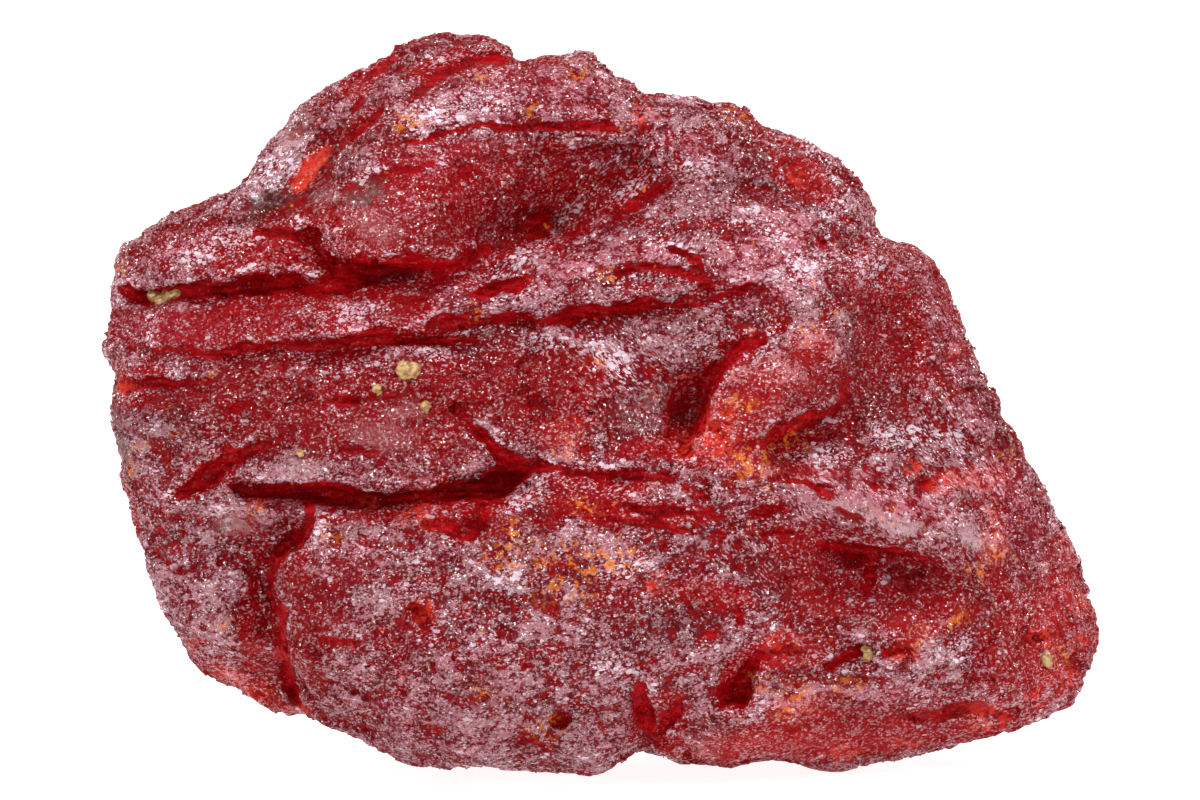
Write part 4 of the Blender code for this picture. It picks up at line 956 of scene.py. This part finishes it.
def makeGrains(body, material):
    surface = BVHTree.FromPolygons([vertex.co for vertex in body.data.vertices],
                                   [face.vertices for face in body.data.polygons])
    inward = faceInward()
    built = bmesh.new()
    for cluster in tanGrains["clusters"]:
        for (x, z), radius in cluster:
            hit, _, _, _ = surface.ray_cast(framePlace(x, z) - inward * 0.1, inward)
            ball = bmesh.ops.create_icosphere(built, subdivisions=3, radius=radius * mm)
            middle = hit - inward * radius * (1.0 - 2.0 * tanGrains["sunk"]) * mm
            bmesh.ops.translate(built, verts=ball["verts"], vec=middle)
    mesh = bpy.data.meshes.new("tan_grains")
    built.to_mesh(mesh)
    built.free()
    piece = newPiece("tan_grains", mesh)
    piece.data = remeshed(piece, tanGrains["voxel"])
    points, normals, edges = meshArrays(piece.data)
    points = averaged(points, edges, 2, 0.6)
    coarse, fine = tanGrains["lumpSizes"]
    lumps = wander(points / mm, coarse, 31) + 0.5 * wander(points / mm, fine, 32)
    points = points + normals * (tanGrains["lumps"] * lumps * mm)[:, None]
    movePoints(piece.data, np.clip(points, cadBox[0], cadBox[1]))
    piece.data.materials.clear()
    piece.data.materials.append(material)
    for face in piece.data.polygons:
        face.use_smooth = True
    print("tan_grains:", triangleCount(piece.data), "triangles")
    return piece


# Colours are linear red, green and blue
realgarFinish = {
    "deepRed": (0.240, 0.0006, 0.0022, 1.0),
    "slotRed": (0.190, 0.0004, 0.0016, 1.0),
    # painted glow: the deep floor of a gash is painted brighter than its mouth, and its thin leaves brighter
    # still
    "paintedGlowRed": (0.300, 0.0006, 0.0024, 1.0),
    "paintedLeafGlow": (0.400, 0.0060, 0.0100, 1.0),
    "shadeRed": (0.060, 0.0006, 0.0020, 1.0),
    "maroon": (0.120, 0.0012, 0.0045, 1.0),
    # faceRed to roseRed, the grains' light colours, hold part of the grey-lilac sheen as painted sheen; the
    # coat reflects the rest
    "faceRed": (0.330, 0.128, 0.152, 1.0),
    "pinkRed": (0.360, 0.070, 0.092, 1.0),
    "lilacPink": (0.430, 0.100, 0.140, 1.0),
    "pinkDeep": (0.240, 0.0060, 0.0140, 1.0),
    "roseRed": (0.500, 0.080, 0.082, 1.0),
    "roseDeep": (0.330, 0.0080, 0.0090, 1.0),
    # painted highlight: the pale colour of the painted glints
    "paintedGlint": (0.80, 0.63, 0.72, 1.0),
    "scarlet": (0.68, 0.042, 0.020, 1.0),
    "orange": (0.70, 0.19, 0.020, 1.0),
    "umber": (0.110, 0.040, 0.035, 1.0),
    "grainSize": 0.125,  # mm, as the next two are
    "blotchSize": 0.36,
    "facetSize": 0.21,
    "streakLength": 2.6,  # times a streak's breadth
    "layerSlope": 5.0,  # degrees that the grains lie at, rising to the right
    "steepSlope": 42.0,  # where they rise or fall steeply
    "facetTilt": 0.50,
    "roughness": (0.55, 0.40),  # of the broken and of the smooth places
    "coatRoughness": 0.13,
    "coatIor": 2.2,
    "clearFrom": (0.76, 0.80),  # the random value past which a grain is clear and flashes
    # What brings the grains' sheen out, painted into the colour and raised in the coat, and from where to
    # where their sum lets it set in
    "sheenShares": {"grainy": 0.42, "fine": 0.24, "streakRandom": 0.15, "blotchy": 0.50, "patchy": 0.34,
                    "glossy": 0.06, "glare": 0.05, "cloud": 0.06, "redness": -0.27},
    "sheenFrom": (0.8162, 0.9162),
    "ior": 1.45,
    "specular": 0.04,
    "subsurface": 0.06,
    "subsurfaceReach": 1.2,  # mm, as red light goes, and green and blue light go less far
    "subsurfaceColours": (1.0, 0.06, 0.05),
}


def newMaterial(name):
    material = bpy.data.materials.new(name)
    material.use_nodes = True
    return material, material.node_tree, material.node_tree.nodes["Principled BSDF"]


def attributeOf(tree, name):
    return addNode(tree, "ShaderNodeAttribute", {"attribute_name": name}).outputs["Fac"]


# A noise with lumps of a size, each shift giving another one
def noiseAt(tree, inMm, size, detail=2.0, roughness=0.5, shift=0.0):
    moved = vectorMaths(tree, "ADD", inMm, (shift, 1.7 * shift, 2.3 * shift))
    return noiseNode(tree, moved, 1.0 / size, detail, roughness)


# Places drawn out along one slope of the front
def drawnAlong(tree, inMm, slope, length):
    turned = addNode(tree, "ShaderNodeVectorRotate", {"rotation_type": "Y_AXIS"},
                     {"Vector": inMm, "Angle": math.radians(slope)}).outputs[0]
    return vectorMaths(tree, "MULTIPLY", turned, (1.0 / length, 1.0 / length, 1.0))


# The second places where the share is past its middle, and the first elsewhere
def switched(tree, share, first, second):
    past = maths(tree, "GREATER_THAN", share, 0.45)
    made = addNode(tree, "ShaderNodeMix", {"data_type": "VECTOR"}, {"Factor": past, 4: first, 5: second})
    return made.outputs[1]


# Random values for each grain, each streak of grains and each larger facet, and the noises between them
def realgarGrain(tree):
    finish = realgarFinish
    place = addNode(tree, "ShaderNodeTexCoord").outputs["Object"]
    inMm = scaledBy(tree, place, 1.0 / mm)
    grainSize = finish["grainSize"]
    cells = cellNode(tree, inMm, 1.0 / grainSize)
    drawn = drawnAlong(tree, inMm, finish["layerSlope"], 0.6 * finish["streakLength"])
    for where, slope in (("rising", finish["steepSlope"]), ("falling", -finish["steepSlope"])):
        steep = drawnAlong(tree, inMm, slope, finish["streakLength"])
        drawn = switched(tree, attributeOf(tree, where), drawn, steep)
    streaks = cellNode(tree, drawn, 1.9 / grainSize)
    facets = cellNode(tree, vectorMaths(tree, "MULTIPLY", inMm, (0.7, 0.7, 1.2)), 1.0 / finish["facetSize"])
    streakValues = split(tree, streaks["Color"])
    flattened = vectorMaths(tree, "MULTIPLY", inMm, (0.55, 0.55, 1.0))
    thin = vectorMaths(tree, "MULTIPLY", inMm, (0.7, 0.7, 4.0))
    return {
        "inMm": inMm,
        "cellColour": cells["Color"], "cellRandom": split(tree, cells["Color"])[2],
        "streakColour": streaks["Color"], "streakRandom": streakValues[0], "glintRandom": streakValues[1],
        "facetRandom": split(tree, facets["Color"])[1], "facetDistance": facets["Distance"],
        "blotchy": noiseNode(tree, flattened, 1.0 / finish["blotchSize"]),
        "leaves": noiseNode(tree, thin, 1.0, 3.0, 0.65),
        "broad": noiseAt(tree, inMm, 6.0, 3.0, 0.55),
        "shadow": noiseAt(tree, inMm, 5.0, 3.0, 0.6, 71.0),
        "zone": noiseAt(tree, inMm, 4.5, 2.0, 0.5, 63.0),
        "patchy": noiseAt(tree, inMm, 1.3, 3.0, 0.6, 5.0),
        "grainy": noiseAt(tree, inMm, 1.7 * grainSize, 2.0, 0.6, 9.0),
        "fine": noiseAt(tree, inMm, 0.8 * grainSize, 2.0, 0.6, 13.0),
    }


# How clear and red each place is, how much sheen its broken grains have, painted into the colour as well as
# in the coat, and how much of it is gash
def realgarDepth(tree, grain):
    dip, away = attributeOf(tree, "dip"), attributeOf(tree, "away")
    glossy, glare = attributeOf(tree, "glossy"), attributeOf(tree, "glare")
    slot = added(tree, attributeOf(tree, "gash"), swing(tree, grain["grainy"], 0.8))
    slot = between(tree, slot, 0.35, 0.65)
    # Redness is partly the stone's own red patches and random tone, and partly painted shade: hollows, and
    # dips of the back, are painted deep red without the painted sheen, where reflections would not reach
    redness = added(
        tree,
        times(tree, attributeOf(tree, "red"), 0.95),
        between(tree, attributeOf(tree, "hollow"), 0.20, 0.95, 0.0, 0.85),
        between(tree, grain["broad"], 0.46, 0.72, 0.0, 0.34),
        # painted glow: the sides and back are redder
        times(tree, attributeOf(tree, "paintedRimGlow"), 0.25),
        times(tree, between(tree, grain["shadow"], 0.50, 0.62, 0.0, 0.55), away),
        times(tree, between(tree, dip, 0.10, 0.30), away))
    redness = maths(tree, "MINIMUM", larger(tree, redness, slot), 1.0)
    cloud = times(tree, between(tree, grain["zone"], 0.40, 0.52, 1.0, 0.0), away)
    speckled = {**grain, "glossy": glossy, "glare": glare, "cloud": cloud, "redness": redness}
    shares = [times(tree, speckled[name], share) for name, share in realgarFinish["sheenShares"].items()]
    # painted shade and highlight: the painted sheen is weaker in dips and stronger on ridges
    speckle = added(tree, *shares, between(tree, dip, -0.14, 0.14, 0.07, -0.10))
    # painted shade: small pits and gashes lose the painted sheen, and pits are painted deep red
    inPit = between(tree, attributeOf(tree, "pit"), 0.006, 0.040)
    sheen = between(tree, speckle, *realgarFinish["sheenFrom"])
    sheen = butNot(tree, butNot(tree, sheen, inPit, 0.85), slot, 1.0)
    # painted highlights also gather in the cloudy zones of the back
    glare = larger(tree, glare, times(tree, cloud, 0.6))
    return {
        "slot": slot, "redness": redness, "inPit": inPit, "sheen": sheen, "glossy": glossy, "glare": glare}


# Painted light in the gashes: the deeper floor is painted brighter red than the mouth, standing in for light
# that has come through the stone, in thin leaves painted lighter, with painted shade between them
def gashColour(tree, grain):
    finish = realgarFinish
    deep = between(tree, attributeOf(tree, "sunk"), 0.15, 0.75)
    colour = mixColour(tree, deep, finish["slotRed"], finish["paintedGlowRed"])
    colour = mixColour(tree, between(tree, grain["leaves"], 0.52, 0.62, 0.0, 0.65), colour, finish["paintedLeafGlow"])
    return mixColour(tree, between(tree, grain["leaves"], 0.47, 0.40, 0.0, 0.5), colour, finish["shadeRed"])


# Painted highlights: pale glints painted into the colour where a facet would look at a light, fine ones in
# streaks, and larger ones among them, in clumps
def paintedGlintShare(tree, grain, depth):
    glare, patchy = depth["glare"], grain["patchy"]
    clumps = added(tree, times(tree, glare, 0.24), swing(tree, patchy, 0.65))
    fineOnes = between(tree, added(tree, grain["glintRandom"], clumps), 0.89, 0.93)
    fineOnes = times(tree, fineOnes, added(tree, 0.38, times(tree, glare, 0.3)))
    edge = times(tree, minus(tree, grain["facetDistance"], 0.3), -0.12)
    clumps = added(tree, times(tree, glare, 0.17), swing(tree, patchy, 0.55))
    wideOnes = between(tree, added(tree, grain["facetRandom"], edge, clumps), 0.985, 1.00)
    wideOnes = times(tree, wideOnes, added(tree, 0.62, times(tree, glare, 0.3)))
    flecks = butNot(tree, larger(tree, fineOnes, wideOnes), depth["slot"])
    return butNot(tree, butNot(tree, flecks, depth["redness"], 0.3), depth["glossy"], 0.8)


# Scattered flecks of scarlet and orange all round, and the drawn stains of the front
def stained(tree, grain, colour):
    finish, inMm = realgarFinish, grain["inMm"]
    scarlet, orange = attributeOf(tree, "scarlet"), attributeOf(tree, "orange")
    scattered = times(tree, between(tree, noiseAt(tree, inMm, 0.5, 2.0, 0.6, 21.0), 0.66, 0.72),
                      between(tree, grain["broad"], 0.50, 0.62, 0.0, 0.6))
    broken = times(tree, scarlet, between(tree, noiseAt(tree, inMm, 0.4, 2.0, 0.5, 31.0), 0.42, 0.58))
    grainy = added(tree, 0.35, times(tree, grain["grainy"], 0.9))
    broken = times(tree, larger(tree, broken, scattered), grainy)
    colour = mixColour(tree, larger(tree, broken, between(tree, scarlet, 0.80, 0.95, 0.0, 0.8)),
                       colour, finish["scarlet"])
    rare = times(tree, between(tree, noiseAt(tree, inMm, 0.6, 2.0, 0.5, 51.0), 0.70, 0.76),
                 between(tree, grain["zone"], 0.50, 0.60))
    drawn = times(tree, orange, between(tree, noiseAt(tree, inMm, 0.40, 2.0, 0.6, 41.0), 0.51, 0.61))
    share = times(tree, larger(tree, drawn, rare), added(tree, 0.35, times(tree, grain["fine"], 0.7)))
    return mixColour(tree, share, colour, finish["orange"])


def realgarColour(tree, grain, depth):
    finish = realgarFinish
    redness, slot, zone = depth["redness"], depth["slot"], grain["zone"]
    pink, rose = attributeOf(tree, "pink"), attributeOf(tree, "rose")
    clearRed = larger(tree, between(tree, redness, 0.10, 0.6), times(tree, depth["inPit"], 0.8))
    dark = mixColour(tree, clearRed, finish["maroon"], finish["deepRed"])
    dark = mixColour(tree, times(tree, pink, 0.5), dark, finish["pinkDeep"])
    dark = mixColour(tree, times(tree, rose, 0.7), dark, finish["roseDeep"])
    pinkness = added(tree, times(tree, redness, 0.7), between(tree, zone, 0.42, 0.70, 0.0, 0.45))
    light = mixColour(tree, maths(tree, "MINIMUM", pinkness, 1.0), finish["faceRed"], finish["pinkRed"])
    light = mixColour(tree, times(tree, pink, 0.8), light, finish["lilacPink"])
    light = mixColour(tree, times(tree, rose, 0.8), light, finish["roseRed"])
    # painted sheen: the lit grains' grey-lilac over the dark red, besides what the coat reflects
    colour = mixColour(tree, depth["sheen"], dark, light)
    colour = mixColour(tree, slot, colour, gashColour(tree, grain))
    # painted highlights: pale glints laid over the colour
    colour = mixColour(tree, paintedGlintShare(tree, grain, depth), colour, finish["paintedGlint"])
    brown = times(tree, times(tree, attributeOf(tree, "umber"), 0.75),
                  between(tree, grain["patchy"], 0.35, 0.55))
    colour = stained(tree, grain, mixColour(tree, brown, colour, finish["umber"]))
    shade = added(tree, times(tree, attributeOf(tree, "dark"), 0.45),
                  between(tree, grain["shadow"], 0.46, 0.66, 0.0, 0.30))
    return mixColour(tree, butNot(tree, times(tree, shade, 0.65), slot), colour, finish["shadeRed"])


# Clear facets among cloudy ones: the clear ones flash where they face a light
def realgarLustre(tree, grain, depth):
    clear = between(tree, grain["cellRandom"], *realgarFinish["clearFrom"])
    flashing = larger(tree, clear, times(tree, depth["glossy"], 0.7))
    lustre = added(tree, 0.03, times(tree, depth["sheen"], 0.20), times(tree, flashing, 0.77))
    return butNot(tree, butNot(tree, lustre, depth["redness"], 0.15), depth["slot"], 0.85)


# Each grain's facet leans its own way, less so where the break is smooth
def realgarFacets(tree, grain, depth):
    lean = vectorMaths(tree, "SUBTRACT", grain["cellColour"], (0.5, 0.5, 0.5))
    fineLean = vectorMaths(tree, "SUBTRACT", grain["streakColour"], (0.5, 0.5, 0.5))
    lean = vectorMaths(tree, "ADD", lean, fineLean)
    strength = butNot(tree, realgarFinish["facetTilt"], depth["glossy"], 0.45)
    bump = addNode(tree, "ShaderNodeBump", None, {
        "Height": grain["grainy"], "Strength": 0.6, "Distance": 0.05 * mm})
    turned = vectorMaths(tree, "ADD", bump.outputs[0], scaledBy(tree, lean, strength))
    return vectorMaths(tree, "NORMALIZE", turned)


# How far the light goes in a stone before it comes out
def scattering(finish):
    return {
        "Subsurface Weight": finish["subsurface"],
        "Subsurface Radius": finish["subsurfaceColours"],
        "Subsurface Scale": finish["subsurfaceReach"] * mm,
    }


# Deep red stone whose broken grains catch the light as a grey-lilac sheen, partly from the coat and partly
# painted sheen in the colour
def realgarMaterial():
    finish = realgarFinish
    material, tree, shader = newMaterial("realgar")
    grain = realgarGrain(tree)
    depth = realgarDepth(tree, grain)
    facets = realgarFacets(tree, grain, depth)
    feed(tree, shader, {
        "Base Color": realgarColour(tree, grain, depth),
        "Coat Weight": realgarLustre(tree, grain, depth),
        "Roughness": between(tree, depth["glossy"], 0.2, 0.8, *finish["roughness"]),
        "Normal": facets,
        "Coat Normal": facets,
        "Coat Roughness": finish["coatRoughness"],
        "Coat IOR": finish["coatIor"],
        "IOR": finish["ior"],
        "Specular IOR Level": finish["specular"],
        **scattering(finish),
    })
    return material


tanFinish = {
    "pale": (0.50, 0.33, 0.13, 1.0),
    "dark": (0.27, 0.12, 0.035, 1.0),
    "cloudSize": 0.25,  # mm
    "roughness": 0.35,
    "subsurface": 0.3,
    "subsurfaceReach": 0.3,  # mm
    "subsurfaceColours": (1.0, 0.8, 0.4),
}


def tanMaterial():
    material, tree, shader = newMaterial("tan_grain")
    inMm = scaledBy(tree, addNode(tree, "ShaderNodeTexCoord").outputs["Object"], 1.0 / mm)
    cloud = noiseNode(tree, inMm, 1.0 / tanFinish["cloudSize"], 3.0)
    bump = addNode(tree, "ShaderNodeBump", None, {"Height": cloud, "Strength": 0.4, "Distance": 0.05 * mm})
    feed(tree, shader, {
        "Base Color": mixColour(tree, between(tree, cloud, 0.40, 0.60), tanFinish["dark"], tanFinish["pale"]),
        "Normal": bump.outputs[0],
        "Roughness": tanFinish["roughness"],
        **scattering(tanFinish),
    })
    return material


def lookAt(item, target):
    item.rotation_mode = "QUATERNION"
    item.rotation_quaternion = (Vector(target) - item.location).to_track_quat("-Z", "Y")


studio = {
    "distance": 0.50,  # m from the camera to the stone
    "frameWidth": 60.0,  # mm of the photo's frame at the stone
    "centre": (0.0, 18.6),  # mm on the drawing at the photo's middle
    "roomLight": 1.0,  # behind the stone
    "roomFront": 0.48,  # from the sides and from behind the camera
    "floorReach": 3.0,  # m
    "floorWhite": (0.5, 0.5, 0.5, 1.0),
    "floorRoughness": 0.9,
    "floorGlow": 0.90,
    "floorDrop": 0.02,  # mm below the stone's foot
    "lampTarget": (0.0, 0.0, 0.0185),  # m, the stone's middle
}

# Softboxes: place, size and power
softboxes = [
    ((-0.18, -0.18, 0.30), 0.09, 0.44),
    ((0.24, -0.16, 0.22), 0.08, 0.28),
    ((0.03, -0.07, 0.38), 0.10, 0.64),
    ((-0.06, -0.34, 0.14), 0.02, 0.07),
    ((0.12, -0.33, 0.04), 0.02, 0.06),
    ((-0.24, -0.24, 0.05), 0.03, 0.07),
    ((0.10, -0.30, 0.22), 0.02, 0.07),
    ((0.18, 0.24, 0.24), 0.09, 0.40),
    ((-0.22, 0.22, 0.16), 0.08, 0.30),
]


def makeRoom():
    world = bpy.data.worlds.new("whiteRoom")
    world.use_nodes = True
    tree = world.node_tree
    way = addNode(tree, "ShaderNodeTexCoord").outputs["Generated"]
    light = between(tree, split(tree, way)[1], 0.0, 0.6, studio["roomFront"], studio["roomLight"])
    feed(tree, tree.nodes["Background"], {"Strength": light, "Color": (1.0, 1.0, 1.0, 1.0)})
    bpy.context.scene.world = world


def makeFloor():
    reach = studio["floorReach"]
    mesh = bpy.data.meshes.new("floor")
    corners = [(-reach, -reach, 0), (reach, -reach, 0), (reach, reach, 0), (-reach, reach, 0)]
    mesh.from_pydata(corners, [], [(0, 1, 2, 3)])
    floor = newPiece("floor", mesh)
    floor.location.z = -studio["floorDrop"] * mm
    white, tree, shader = newMaterial("whiteFloor")
    feed(tree, shader, {
        "Base Color": studio["floorWhite"],
        "Roughness": studio["floorRoughness"],
        "Emission Color": (1.0, 1.0, 1.0, 1.0),
        "Emission Strength": studio["floorGlow"],
    })
    mesh.materials.append(white)


def makeStudio():
    scene = bpy.context.scene
    scene.view_settings.view_transform = "Standard"
    makeRoom()
    makeFloor()
    for place, size, power in softboxes:
        light = bpy.data.lights.new("softbox", "AREA")
        light.size = size
        light.energy = power
        holder = bpy.data.objects.new("softbox", light)
        scene.collection.objects.link(holder)
        holder.location = place
        lookAt(holder, studio["lampTarget"])
    camera = bpy.data.cameras.new("camera")
    camera.sensor_width = 36.0
    camera.lens = camera.sensor_width * studio["distance"] / (studio["frameWidth"] * mm)
    camera.clip_start = 0.01
    holder = bpy.data.objects.new("camera", camera)
    scene.collection.objects.link(holder)
    centre = framePlace(*studio["centre"])
    holder.location = centre - faceInward() * studio["distance"]
    lookAt(holder, centre)
    scene.camera = holder


realgarLook = realgarMaterial()
stonePiece = stoneBody(realgarLook)
print("stone:", triangleCount(stonePiece.data), "triangles")
pieces = [makeChips(name, stonePiece, realgarLook) for name in chipScatters]
writeBakeMap(stonePiece.data)
grainPiece = makeGrains(stonePiece, tanMaterial())
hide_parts("realgar")
for piece in [stonePiece, *pieces, grainPiece]:
    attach(piece, "root")
makeStudio()
print("studio made")
